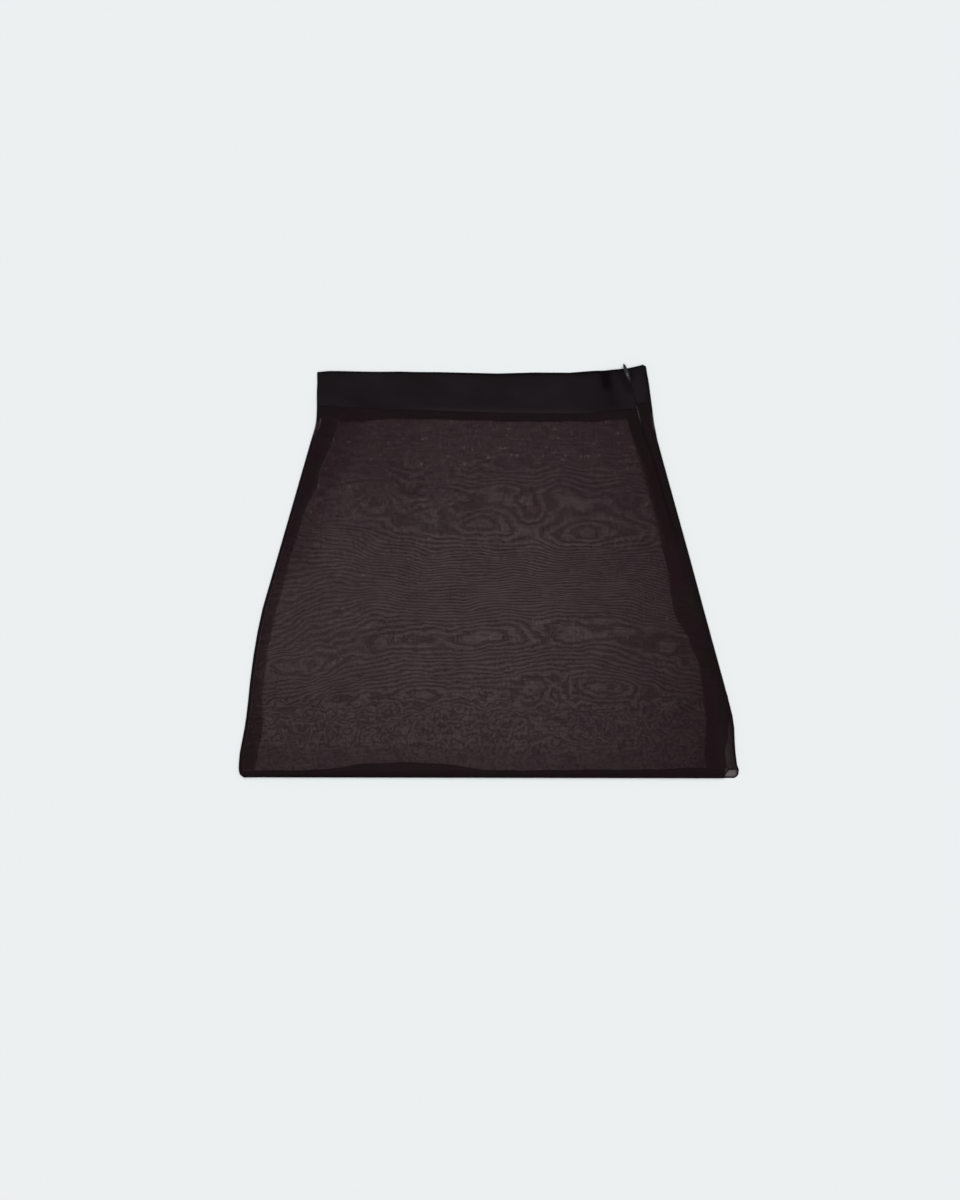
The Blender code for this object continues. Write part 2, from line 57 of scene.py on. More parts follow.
# Form of the solids
CLOTH = 1.0                # wall of the chiffon's solids
BAND = 1.2                 # wall of the waistband's
GAP = 0.3                  # between two solids that meet
LAYER = CLOTH + GAP        # what one hidden layer adds to the height of the front
LENGTH = 414.0             # from the hem to the top of the outline
HEM_TILT = 1 / 500
HEM_MIDDLE = 0.75
HEM_INSET = 0.2
BACK_HEM_DEPTH = 7.0
BACK_WAIST_DEPTH = 8.0
BAND_RISE = 6.0            # over which the inner layers rise to the thicker band
TAPE_HALF = 12.5
TAPE_END = 233.0
TAPE_TOP = 405.0
COIL_ROOM = 2.2            # from the seam to the turnings beside the coil
ZIP_END = 247.0
FOLD_ROOM = 2.7
FOLD_CLEAR = 1.1           # the skins between the panels come this near to a side fold
SEAM_UNDER = 1.5           # how far the front comes round to the underside at the left seam

# How far the front takes to come down beside its hidden layers
PLATEAU = 2.0
HEM_SLOPE = 26.0
WAIST_SLOPE = 30.0
BAND_SLOPE = 36.0
SIDE_SLOPE = 22.0
ZIP_SLOPE = 12.0
TAPE_SLOPE = 36.0

# The slider, its bridge and the pull tab
SLIDER_HEIGHT = 398.0
SLIDER_TURN = math.radians(20)
SLIDER_SIZE = (5.2, 7.8)
SLIDER_TAPER = 0.8
BRIDGE_WIDTH = 1.0
BRIDGE_HALF = 3.2
BRIDGE_LEG = 1.0
BRIDGE_TOP = 0.8
PULL_LENGTH = 17.0
PULL_WALL = 0.8
PULL_BAR = 0.8
PULL_RAISE = math.radians(4)
EYE_WIDTH = 1.8
EYE_LENGTH = 3.7
CORNER_STEPS = 4

# The cloth
SHEER = 0.3                # thickness of the chiffon's skin
TAPE_WALL = 0.5
STEP = 3.0                 # distance between the points of a skin
FOLD_STEPS = 12
ROUNDING = (0, 0.06, 0.2, 0.4, 0.65, 1.2, 2.4)     # where the points lie at a rounded edge of the band
HEM_ROUNDING = (0, 0.25, 0.5, 0.9, 1.4, 2.2)

# At the right-hand end of the hem the front is drawn up, and one layer of the back shows below it
CORNER_X = 236.5
CORNER_WIDTH = 2.6
CORNER_RISE = 8.4

# Stitches, with their length and thickness, and the coil's teeth
OVERLOCK_STITCH = (3.4, 0.22)
OVERLOCK_SPACING = 1.5
OVERLOCK_INSET = 1.6
OVERLOCK_SLANT = math.radians(62)
SEAM_STITCH = (1.9, 0.26)
SEAM_SPACING = 2.4
SEAM_INSET = 2.4           # of the hem's stitches from the turning's cut edge
DITCH = 0.75               # how far the band's stitches lie above the waist seam
COIL_END = 1.2             # between the last tooth and the slider
TOOTH_PITCH = 0.72
TOOTH_WIRE = 0.16          # radius of its monofilament


def table(columns, *rows):
    """Rows of values, each named by its column."""
    Row = namedtuple("Row", columns)
    return [Row(*row) for row in rows]


# The outline, as its left and right edges at each height
OUTLINE = table(
    "height left right",
    (0.0, -243.0, 246.9), (2.3, -246.4, 248.5), (4.3, -248.9, 249.3), (8.3, -249.9, 249.9),
    (14.0, -249.9, 247.9), (26.0, -248.9, 246.5), (38.0, -246.5, 245.7), (50.0, -244.2, 245.3),
    (62.0, -242.4, 243.6), (74.0, -241.0, 240.6), (98.0, -238.5, 234.2), (122.0, -235.3, 227.6),
    (146.0, -231.3, 221.0), (170.0, -226.1, 214.5), (218.0, -212.2, 201.5), (266.0, -198.3, 188.2),
    (314.0, -184.5, 174.9), (338.0, -177.6, 168.4), (352.0, -173.5, 165.7), (360.0, -172.2, 164.5),
    (371.0, -171.8, 163.1), (384.0, -171.9, 161.3), (396.0, -171.5, 159.7), (404.0, -171.6, 158.2),
    (414.0, -171.6, 156.6),
)

# The zip seam: how far the back comes round onto the front, and how far the seam's edges stand apart
SEAM = table(
    "height wrap opening",
    (0.0, 3.6, 0.3), (178.0, 4.2, 0.3), (218.0, 6.0, 0.3), (247.0, 7.6, 0.3), (253.0, 8.5, 0.3),
    (317.0, 8.9, 0.3), (337.0, 11.5, 0.3), (352.0, 13.2, 0.4), (359.0, 13.8, 1.8), (371.0, 15.2, 1.8),
    (377.0, 16.0, 0.1), (391.5, 18.3, 0.1), (394.5, 18.7, 1.6), (401.5, 19.6, 1.6), (404.0, 20.0, 0.1),
    (414.0, 21.3, 0.1),
)

# The side seams' allowances: how wide they are, and how far in their outer edge lies
ALLOWANCE = table(
    "height left right left_in right_in",
    (8.0, 15.4, 27.4, 0.0, 9.4), (23.0, 18.4, 28.2, 0.0, 9.4), (32.0, 19.0, 26.8, 0.0, 9.0),
    (37.0, 19.3, 25.8, 0.0, 5.6), (53.0, 18.2, 24.0, 0.0, 4.6), (64.0, 16.2, 22.6, 0.0, 1.0),
    (70.0, 15.6, 21.8, 0.0, 0.0), (83.0, 14.0, 19.4, 0.0, 0.0), (98.0, 14.0, 17.6, 0.0, 0.0),
    (113.0, 14.3, 16.2, 0.0, 0.0), (128.0, 13.4, 18.2, 0.0, 0.0), (143.0, 14.5, 19.0, 0.0, 0.0),
    (151.0, 14.8, 23.0, 0.0, 0.0), (160.0, 14.9, 26.4, 0.0, 0.0), (173.0, 15.3, 26.0, 0.0, 0.0),
    (188.0, 14.4, 23.0, 0.0, 0.0), (203.0, 13.6, 20.6, 0.0, 0.0), (233.0, 13.6, 18.0, 0.0, 0.0),
    (263.0, 14.0, 15.4, 0.0, 0.0), (278.0, 15.4, 14.6, 0.0, 0.0), (293.0, 18.4, 15.0, 0.0, 0.0),
    (308.0, 17.2, 14.6, 0.0, 0.0), (323.0, 19.0, 14.2, 0.0, 0.0), (338.0, 20.6, 12.6, 0.5, 0.0),
    (348.0, 21.6, 11.2, 2.5, 0.0), (356.0, 22.4, 10.5, 5.0, 0.0),
)

# The waist seam, and how deep the front's turning is under it; then the seam where the back comes round
WAIST = table(
    "x height depth",
    (-171.8, 371.3, 11.0), (-153.0, 371.3, 14.0), (-143.0, 370.8, 15.0), (-126.0, 370.0, 13.0),
    (-104.0, 369.0, 10.5), (-86.0, 368.2, 9.0), (31.0, 364.5, 8.0), (101.0, 364.3, 8.0),
    (137.0, 368.3, 9.5), (148.7, 368.3, 9.5),
)

WRAP_WAIST = table(
    "x height depth",
    (148.7, 372.8, 9.5), (163.1, 375.3, 9.5),
)

# The waistband's upper edge, at the front and at the back
BAND_EDGE = table(
    "x front back",
    (-171.6, 406.0, 406.0), (-159.0, 407.1, 406.8), (-111.0, 406.4, 406.2), (-87.0, 406.6, 406.4),
    (-50.0, 405.4, 406.2), (9.0, 403.6, 404.8), (45.0, 404.5, 405.8), (81.0, 404.4, 405.6),
    (105.0, 406.4, 407.5), (117.0, 407.6, 407.8), (139.0, 409.7, 409.2), (151.0, 412.4, 411.6),
    (154.5, 413.6, 412.6), (157.5, 411.6, 411.6),
)

# How deep the front's hem is turned up
HEM = table(
    "x depth",
    (-249.9, 6.0), (-199.0, 6.3), (-179.0, 7.4), (-159.0, 8.6), (-129.0, 13.4), (-89.0, 15.3),
    (-49.0, 14.3), (1.0, 7.3), (151.0, 8.3), (211.0, 10.3), (249.9, 9.0),
)

# Where the front stands a little off the back
SWELLS = table(
    "x height half_width half_height lift",
    (-118, 262, 62, 84, 0.9), (22, 312, 84, 38, 0.6), (104, 206, 46, 74, 1.1), (-36, 168, 78, 46, 0.8),
    (-158, 104, 52, 58, 1.0), (128, 84, 64, 36, 0.9), (14, 62, 66, 30, 0.7),
)

# Soft creases of the front: a ridge (or a trough, where lift is below 0) along a slightly turned line
CREASES = table(
    "x height half_length half_width turn lift",
    (-208, 95, 24, 1.6, 2, 0.30), (-150, 214, 60, 6.0, -14, 0.22), (-96, 318, 52, 5.0, 8, -0.20),
    (-20, 238, 80, 7.0, 3, 0.20), (62, 292, 46, 5.0, -9, 0.18), (96, 156, 60, 6.0, 12, -0.22),
    (150, 118, 44, 5.0, 64, 0.24), (-104, 66, 50, 5.5, -4, 0.22), (34, 112, 76, 6.0, 5, -0.20),
    (120, 262, 40, 4.5, 74, 0.20), (-176, 286, 34, 4.0, 70, -0.18),
)

# The watered pattern: how many fringes have gone by at each height
TURNS = table(
    "height fringes",
    (-16, -9.0), (10, -5.4), (30, -3.8), (46, -5.0), (66, -6.4), (84, -7.4), (98, -6.2), (128, 0.0),
    (141, 0.5), (154, 0.0), (162, -1.8), (170, -4.2), (222, -22.9), (230, -25.2), (238, -26.6),
    (250, -27.3), (262, -26.8), (292, -25.0), (304, -23.4), (336, -17.6), (352, -16.8), (396, -20.0),
)

# How far its rows lie below those heights across the skirt: the lower rows and the higher ones
WANDER = table(
    "x low high",
    (-250, 46, -30), (-190, 28, -26), (-140, 14, -19), (-100, 5, -11), (-60, 1, -4), (-14, 0, 0),
    (40, -3, 0), (72, -8, 2), (103, -11, 3), (130, -6, 2), (160, 5, 4), (190, 15, 8), (250, 26, 14),
)

# Where the weaves lie in step round a spot, the fringes close into rings
EYES = table(
    "x height half_width half_height fringes",
    (99, 246, 38, 25, -3.0), (-6, 253, 26, 15, -2.1), (-62, 262, 30, 15, -1.3), (44, 262, 18, 14, 0.9),
    (156, 240, 18, 12, -0.5), (-26, 287, 22, 10, -1.4), (14, 290, 20, 10, -1.4), (66, 290, 22, 16, -1.8),
    (118, 288, 24, 12, -1.3), (-108, 280, 30, 12, -1.4), (-14, 141, 72, 14, 2.4), (52, 146, 22, 9, -1.2),
    (-96, 132, 34, 12, 1.2), (-190, 112, 34, 13, 1.6), (118, 91, 34, 11, -2.2), (-56, 86, 40, 12, -1.6),
    (8, 84, 26, 11, -1.3), (-140, 84, 34, 13, -1.7), (68, 90, 14, 10, 1.2), (20, 58, 32, 12, 1.8),
    (122, 52, 34, 13, 2.0), (-110, 54, 38, 12, 1.9), (-190, 44, 26, 16, -1.6), (-40, 32, 34, 11, -1.6),
    (70, 28, 34, 11, -1.6), (-70, 322, 32, 12, -1.8), (40, 326, 34, 12, -1.8), (-10, 350, 38, 11, 1.6),
)

# How much denser the chiffon looks than in the middle: across the skirt, and up it
ACROSS = table(
    "x dense",
    (-240, 0.014), (-175, 0.009), (-100, 0.004), (0, 0.0), (60, 0.004), (120, 0.022), (165, 0.040),
    (200, 0.066), (240, 0.074),
)

UP = table(
    "height dense",
    (0, 0.023), (50, 0.014), (110, 0.002), (180, 0.0), (240, 0.006), (300, 0.028), (340, 0.040),
    (371, 0.046),
)

# The pull tab: half its width along its length
PULL = table(
    "along half_width",
    (-0.5, 0.9), (-0.3, 1.35), (0.2, 1.62), (2.0, 1.68), (4.0, 1.7), (6.5, 1.9), (8.0, 1.93), (9.5, 1.85),
    (11.0, 1.72), (12.5, 1.55), (14.0, 1.33), (15.2, 1.08), (16.2, 0.72), (16.8, 0.35),
)


# ---------------------------------------------------------------- the form of the cloth

def read(rows, key, column, place):
    """The table's column at places between its rows."""
    return np.interp(place, [getattr(row, key) for row in rows], [getattr(row, column) for row in rows])


def reader(rows, key, column):
    """The table's column as a function of its key."""
    return lambda place: read(rows, key, column, place)


left_edge = reader(OUTLINE, "height", "left")
right_edge = reader(OUTLINE, "height", "right")
seam_wrap = reader(SEAM, "height", "wrap")
seam_opening = reader(SEAM, "height", "opening")
left_width = reader(ALLOWANCE, "height", "left")
right_width = reader(ALLOWANCE, "height", "right")
left_inset = reader(ALLOWANCE, "height", "left_in")
right_inset = reader(ALLOWANCE, "height", "right_in")
hem_depth = reader(HEM, "x", "depth")
waist_depth = reader(WAIST, "x", "depth")
front_waist = reader(WAIST, "x", "height")
wrap_waist = reader(WRAP_WAIST, "x", "height")
back_waist = reader([WAIST[0], WRAP_WAIST[-1]], "x", "height")
front_band_edge = reader(BAND_EDGE, "x", "front")
back_band_edge = reader(BAND_EDGE, "x", "back")


def fade(place, full, gone):
    """1 up to the place full, then smoothly down to 0 at full + gone."""
    share = np.clip((place - full) / gone, 0, 1)
    return 1 - share * share * (3 - 2 * share)


def above(place, full, gone):
    """1 from the place full upwards, and smoothly down to 0 at full - gone."""
    return fade(-place, -full, gone)


def near(place, middle, full, gone):
    """1 within the distance full of the middle, then smoothly down to 0 at full + gone from it."""
    return fade(np.abs(place - middle), full, gone)


def hump(distance, width):
    return np.exp(-(distance / width) ** 2)


def seam_x(height):
    return right_edge(height) - seam_wrap(height)


def seam_left(height):
    return seam_x(height) - seam_opening(height) / 2


def seam_right(height):
    return seam_x(height) + seam_opening(height) / 2


def hem_edge(x):
    return HEM_MIDDLE - HEM_TILT * x


def corner_rise(x):
    return CORNER_RISE * (1 - fade(x, CORNER_X, CORNER_WIDTH))


def front_hem_edge(x):
    return hem_edge(x) + corner_rise(x)


def moved(edge, distance):
    return lambda x: edge(x) + distance


def level(height):
    """An edge at the same height all across."""
    return lambda x: height + 0 * x


def zip_layers(height):
    """Hidden layers beside the right-hand seam: two as far down as the tape, one below it."""
    return 1 + fade(TAPE_END - height, 0, TAPE_SLOPE)


def reach(row, x, height):
    """0 in the middle of a soft oval place, 1 at its edge."""
    return np.hypot((x - row.x) / row.half_width, (height - row.height) / row.half_height)


def lift(x, height):
    """How far the hidden layers and the swells hold the front up."""
    waist = np.where(x < WAIST[-1].x, front_waist(x), wrap_waist(x))
    in_band = height > waist
    hem = 2 * fade(height - hem_edge(x), hem_depth(x) + PLATEAU, HEM_SLOPE)
    top = 2 * np.where(in_band, fade(height - waist, PLATEAU, BAND_SLOPE),
                       fade(waist - height, waist_depth(x) + PLATEAU, WAIST_SLOPE))
    left = fade(x - left_edge(height), left_width(height) + PLATEAU, SIDE_SLOPE)
    tape = np.where(height > TAPE_END, np.maximum(right_width(height), TAPE_HALF), right_width(height))
    slope = np.where(in_band, ZIP_SLOPE, SIDE_SLOPE)
    right = zip_layers(height) * fade(seam_x(height) - x, tape + PLATEAU, slope)
    swell = sum(row.lift * fade(reach(row, x, height), 0, 1) for row in SWELLS)
    return LAYER * np.maximum.reduce([hem, top, left, right]) + np.where(in_band, 0, swell)


def crease(row, x, height):
    turn = math.radians(row.turn)
    along = (x - row.x) * math.cos(turn) + (height - row.height) * math.sin(turn)
    across = (height - row.height) * math.cos(turn) - (x - row.x) * math.sin(turn)
    return row.lift * hump(along, row.half_length) * hump(across, row.half_width)


def puckers(place, depth, pitch, sway, slow):
    """Small waves along a seam, whose pitch sways slowly."""
    return depth * np.sin(place / pitch + sway * np.sin(place / slow))


def relief(x, height):
    """The front's creases, and its puckers along the waist seam, the hem and the zip seam."""
    below_waist = front_waist(x) - height
    beside_seam = seam_x(height) - x
    over_hem = height - hem_edge(x)
    inside = (above(x - left_edge(height), 14, 10) * above(beside_seam, 6, 6)
              * above(below_waist, 2, 2) * above(over_hem, 3, 3))
    creases = sum(crease(row, x, height) for row in CREASES)
    waist = puckers(x, 0.16, 2.3, 2, 17) * hump(below_waist - 4, 9)
    hem = puckers(x, 0.12, 3.1, 2.4, 23) * hump(over_hem - hem_depth(x), 6)
    side = puckers(height, 0.14, 2.9, 2, 21) * hump(beside_seam - 8, 9)
    slow = 0.12 * np.sin(x / 37 + height / 51) * np.sin(height / 29 - x / 83)
    return inside * (creases + waist + hem + side + slow)


def band_relief(x, height):
    """The waistband's slow unevenness."""
    return 0.10 * np.sin(x / 19 + np.sin(height / 9)) * np.sin(height / 13 + x / 41) + 0.05 * np.sin(x / 6.1)


def settle(column, shares, lower, upper):
    """Where a column crosses the rows. A row's height depends on x, and x on the height."""
    height = shares * upper(column(shares * 0))
    for _ in range(5):
        x = column(height)
        height = lower(x) + shares * (upper(x) - lower(x))
    return x, height


def paces(length, near_start, near_end, step=STEP):
    """Shares along a length: steps of about the same size, and at its two ends the places that are given."""
    start, end = near_start[-1], length - near_end[-1]
    middle = np.linspace(start, end, max(int((end - start) / step), 2))
    return np.concatenate([near_start, middle[1:-1], length - np.array(near_end)[::-1]]) / length


def between(start, end, shares):
    """Columns from one side to the other."""
    return [lambda height, share=share: start(height) + share * (end(height) - start(height))
            for share in shares]


def crossings(columns, shares, lower, upper, level_at):
    """The points where the columns cross the rows: rows x columns x 3. level_at gives their z."""
    points = []
    for column in columns:
        x, height = settle(column, shares, lower, upper)
        points.append(np.stack([x, height, level_at(x, height)], axis=1))
    return np.stack(points, axis=1)


def top_points(columns, shares, lower, upper, wall, shape):
    """The wall that lies on top, in the middle of its thickness."""
    return crossings(columns, shares, lower, upper,
                     lambda x, height: wall + GAP + lift(x, height) + wall / 2 + shape(x, height))


def under_points(columns, shares, lower, upper, wall):
    """The wall that lies on the surface."""
    return crossings(columns, shares, lower, upper, lambda x, height: np.full_like(x, wall / 2))


def side_edge(side):
    """-1 is the left side, 1 the right."""
    return left_edge if side < 0 else right_edge


def fold_radius(side, height, wall):
    return (wall + GAP + lift(side_edge(side)(height) - side * FOLD_ROOM, height)) / 2


def fold_start(side, wall, inward=0.0):
    """Where a side fold begins."""
    edge = side_edge(side)
    return lambda height: edge(height) - side * (wall / 2 + inward + fold_radius(side, height, wall))


def fold_points(side, shares, lower, upper, wall, rise=None):
    """A side fold's wall, from its top round to its underside, without its two ends."""
    edge = side_edge(side)
    strips = []
    for angle in np.linspace(0, math.pi, FOLD_STEPS + 1)[1:-1]:
        def column(height):
            return edge(height) - side * (wall / 2 + fold_radius(side, height, wall) * (1 - math.sin(angle)))

        def start(x):
            raised = rise(x) * (1 + math.cos(angle)) / 2 if rise else 0
            return lower(x) + raised

        def level_at(x, height):
            return wall / 2 + fold_radius(side, height, wall) * (1 + math.cos(angle))

        strips.append(crossings([column], shares, start, upper, level_at))
    return np.concatenate(strips, axis=1)


# ---------------------------------------------------------------- skins

def new_object(name, data):
    """An object in the scene, at the origin."""
    made = bpy.data.objects.new(name, data)
    bpy.context.scene.collection.objects.link(made)
    return made


def closed_skin(name, middle, outer, inner, material, outward, facts):
    """A cloth piece: a closed skin about a grid of points.

    outer and inner say how far its two faces are from the points. facts are numbers that its material reads.
    """
    rows, columns = middle.shape[:2]
    normal = np.cross(np.gradient(middle, axis=0), np.gradient(middle, axis=1)) * outward
    normal /= np.linalg.norm(normal, axis=2, keepdims=True)
    offsets = [np.broadcast_to(offset, (rows, columns))[..., None] for offset in (outer, inner)]
    points = np.concatenate([(middle + normal * offset).reshape(-1, 3) for offset in offsets])
    points = (points - (0, LENGTH / 2, 0)) * MM

    count = rows * columns
    number = np.arange(count).reshape(rows, columns)
    quads = [number[:-1, :-1], number[:-1, 1:], number[1:, 1:], number[1:, :-1]]
    quads = np.stack(quads, axis=2).reshape(-1, 4)
    ring = np.concatenate([number[0, :-1], number[:-1, -1], number[-1, :0:-1], number[:0:-1, 0]])
    after = np.roll(ring, -1)
    rim = np.stack([after, ring, ring + count, after + count], axis=1)
    quads = np.concatenate([quads, quads[:, ::-1] + count, rim])
    if outward > 0:
        quads = quads[:, ::-1]
    mesh = bpy.data.meshes.new(name)
    mesh.from_pydata(points.tolist(), [], quads.tolist())

    across = np.linalg.norm(np.diff(middle, axis=1), axis=2)
    length = np.concatenate([np.zeros((rows, 1)), np.cumsum(across, axis=1)], axis=1)
    nearest = np.argmin(np.abs(middle[rows // 2, :, 0]))
    length += middle[:, nearest, :1] - length[:, nearest:nearest + 1]
    place = np.stack([length, middle[..., 1]], axis=2).reshape(-1, 2) * MM
    layer = mesh.uv_layers.new(name="cloth")
    layer.data.foreach_set("uv", np.concatenate([place, place])[quads].astype(np.float32).ravel())
    for fact, values in facts.items():
        attribute = mesh.attributes.new(fact, "FLOAT", "POINT")
        values = np.broadcast_to(values, (rows, columns)).astype(np.float32).ravel()
        attribute.data.foreach_set("value", np.concatenate([values, values]))
    mesh.shade_smooth()
    mesh.set_sharp_from_angle(angle=math.radians(50))
    mesh.materials.append(material)
    return new_object(name, mesh)


# ---------------------------------------------------------------- what the chiffon's material reads

def soft_read(rows, key, column, place, reach_out):
    """The table's column with its corners rounded off."""
    return sum(read(rows, key, column, place + step * reach_out) for step in (-1, -0.5, 0, 0.5, 1)) / 5


def watered(x, height):
    """How many fringes of the watered pattern have gone by at a place."""
    low, high = (soft_read(WANDER, "x", column, x, 16) for column in ("low", "high"))
    place = height + low + (high - low) * np.clip((height - 130) / 110, 0, 1)
    place = place + 1.8 * np.sin(x / 24 + height / 47) + 1.1 * np.sin(x / 9.7 - height / 19)
    fringes = soft_read(TURNS, "height", "fringes", place, 5)
    return fringes + sum(eye.fringes * hump(reach(eye, x, height), 1) for eye in EYES)


def dashes(x, height):
    """Where the fringes are far apart, the yarns of the two weaves show as fine upright dashes."""
    apart = np.abs(watered(x, height + 1) - watered(x, height - 1)) / 2
    return hump(apart, 0.11)


def tangle(x, height):
    """How far the fringes are out of order: least in the middle, most below the waist and above the hem."""
    order = near(height, 182, 66, 44) * near(x, 24, 116, 80)
    left = 0.6 * near(height, 170, 70, 50) * near(x, -150, 70, 50)
    low = 0.75 * near(height, 104, 18, 20)
    high = 0.8 * fade(np.hypot((x - 62) / 92, (height - 286) / 30), 0.55, 0.6)
    return 1 - 0.93 * np.maximum.reduce([order, left, low, high])


def density(x, height):
    """How much denser the cloth looks than in the middle: towards the waist, the hem and the left side."""
    inner = x - left_edge(height) - left_width(height)
    beside_left = 0.034 * fade(inner, 4, 34) * above(height, 230, 50)
    corner = 0.038 * fade(CORNER_X - 4 - x, 0, 5) * fade(height, 40, 26)
    hem = 0.010 * fade(height, 20, 20) * fade(x, 110, 60)
    upper_left = 0.013 * fade(x, -96, 50) * above(height, 300, 40)
    general = read(ACROSS, "x", "dense", x) + read(UP, "height", "dense", height)
    return general + beside_left + hem + upper_left - corner


def rosy(x, height):
    """Browner in the middle and over the hidden layers, rosier elsewhere."""
    middle = fade(np.hypot((x + 30) / 120, (height - 228) / 84), 0.3, 0.8)
    layers = np.maximum.reduce([
        fade(x - left_edge(height), left_width(height), 2),
        fade(seam_x(height) - x, right_width(height), 2),
        fade(height, hem_depth(x), 2),
        fade(front_waist(x) - height, waist_depth(x), 2),
    ])
    # 0 at the inner edge of the right-hand turning, 1 at its outer edge
    outwards = (x - inside_right(height) + right_width(height)) / right_width(height)
    outer = 0.3 * above(outwards, 0.65, 0.3) + 0.4 * above(height, 330, 20) * above(outwards, -0.1, 0.1)
    outer = outer + 0.2 * fade(x - left_edge(height), left_width(height), 4) * above(height, 300, 40)
    inner = 0.35 * above(outwards, 0, 0.05) * fade(outwards, 0.5, 0.3) * near(height, 260, 55, 30)
    upper = 0.25 * (1 - layers) * above(height, 285, 40)
    rose = 0.52 + 2.5 * density(x, height) - 0.32 * middle - 0.18 * layers - outer + inner + upper
    return np.clip(rose, 0, 1)


def shown_depth(x, height):
    """The watered pattern is fainter near the waist, just above the hem and near the left side."""
    near_left = 0.15 * fade(x, -150, 60) * above(height, 110, 40)
    near_hem = 0.12 * fade(height, 46, 40) + 0.36 * fade(height, 16, 24)
    eyes = 0.14 * near(height, 222, 10, 12) - 0.14 * near(height, 264, 12, 12)
    return 0.44 + 0.56 * fade(height, 292, 40) + eyes - near_hem - near_left


def pressed_edge(distance, width):
    """Near 1 at a pressed edge, where the cloth is densest."""
    return np.exp(-(np.maximum(distance, 0) / width) ** 1.5)


def beside_zip(height):
    """The seam is pressed hard beside the zip, and less below it."""
    return 0.25 + 0.3 * fade(ZIP_END - height, 0, 14)


def panel_facts(points, top_columns, lower, from_seam, seam_press):
    """The numbers for a panel, whose first columns lie on top. from_seam is how far the zip seam is."""
    x, height = points[..., 0], points[..., 1]
    on_top = np.zeros(points.shape[:2])
    on_top[:, :top_columns] = 1
    open_side = np.where(x < 0, near(height, 350, 6, 5), near(height, 357, 7, 5))
    pressed = np.maximum.reduce([
        (1 - open_side) * pressed_edge(x - left_edge(height), 1.5),
        (1 - open_side) * pressed_edge(right_edge(height) - x, 1.5 + above(height, 70, 30)),
        pressed_edge(height - lower(x), 1.2 + fade(x, CORNER_X - 14, 8)),
        on_top * beside_zip(height) * pressed_edge(from_seam(x, height), seam_press),
    ])
    low = fade(height, 100, 45)
    return {
        "pressed_edge": pressed,
        "fringes": watered(x, height),
        "tangle": tangle(x, height) * low,
        "swirl": on_top * tangle(x, height) * (1 - low),
        "fringe_depth": on_top * (1 - 2 * density(x, height)) * shown_depth(x, height),
        "rosy": rosy(x, height),
        "dashes": dashes(x, height),
        "thickness_share": density(x, height),
    }


# ---------------------------------------------------------------- the panels and the waistband

PANEL_ROWS = paces(371.0, (0, 0.3, 0.7, 1.2, 2, 3, 4.5, 6.5, 9, 12), (0, 0.4, 1, 2, 4, 7))
BAND_ROWS = paces(38.0, ROUNDING, ROUNDING, 2.4)


def front_panel(material):
    """It wraps the left-hand fold and ends on the underside at the left seam."""
    left_fold = fold_start(-1, CLOTH)
    columns = between(seam_left, left_fold, paces(400.0, (0, 0.3, 0.8, 1.6, 3, 5), (0, 1, 2.5, 5)))
    under = between(left_fold, fold_start(-1, CLOTH, SEAM_UNDER), (0, 0.3, 1))
    upper = moved(front_waist, -0.03)
    top = top_points(columns, PANEL_ROWS, front_hem_edge, upper, CLOTH, relief)
    fold = fold_points(-1, PANEL_ROWS, front_hem_edge, upper, CLOTH)
    below = under_points(under, PANEL_ROWS, front_hem_edge, upper, CLOTH)
    points = np.concatenate([top, fold, below], axis=1)
    facts = panel_facts(points, len(columns), front_hem_edge, lambda x, height: seam_left(height) - x, 1.3)
    return closed_skin("front_panel_cloth", points, CLOTH / 2, CLOTH / 2 - SHEER, material, 1, facts)


def back_panel(material):
    """It wraps the right-hand fold and ends on top at the zip seam."""
    right_fold = fold_start(1, CLOTH)
    wrap = between(seam_right, right_fold, (0, 0.1, 0.3, 0.55, 0.8, 1))
    under = between(fold_start(-1, CLOTH, SEAM_UNDER + GAP), right_fold,
                    paces(400.0, (0, 1, 2.5, 5), (0, 0.5, 1.2, 2.5, 5), 4.0))
    upper, behind = moved(wrap_waist, -0.03), moved(back_waist, -0.03)
    top = top_points(wrap, PANEL_ROWS, front_hem_edge, upper, CLOTH, lambda x, height: 0)
    fold = fold_points(1, PANEL_ROWS, hem_edge, behind, CLOTH, corner_rise)
    below = under_points(under[::-1], PANEL_ROWS, hem_edge, behind, CLOTH)
    points = np.concatenate([top, fold, below], axis=1)
    facts = panel_facts(points, len(wrap), hem_edge, lambda x, height: x - seam_right(height), 1.8)
    facts["fringe_depth"] *= 0
    facts["thickness_share"][:, :len(wrap)] += 0.14 * fade(40 - points[:, :len(wrap), 1], 0, 20)
    return closed_skin("back_panel_cloth", points, CLOTH / 2, CLOTH / 2 - SHEER, material, -1, facts)


def rounded(distance, radius=0.6):
    """Share of the full thickness at a distance from a rounded edge."""
    inside = np.clip(1 - distance / radius, 0, 1)
    return np.sqrt(np.maximum(1 - inside ** 2, 0.002))


def dip_and_slider_shade(x, height):
    """Painted shade and shadow on the band: a dark strip where it dips beside the zip, a darker place beside
    the zip's seam, and a painted shadow round the slider.
    """
    x = x + (height - 396) * 0.16
    dip = np.exp(-((x - 117.5) / 6.2) ** 4) * near(height, 398, 5, 13)
    below = 0.4 * hump(x - 119, 9) * near(height, 386, 12, 8)
    zipped = 0.55 * hump(x - seam_x(height) + 5, 4.5) * near(height, 396, 6, 10)
    slider = 0.85 * hump(x - 141.5, 4.4) * hump(height - 402, 5.5)
    return np.maximum.reduce([dip, below, zipped, slider])


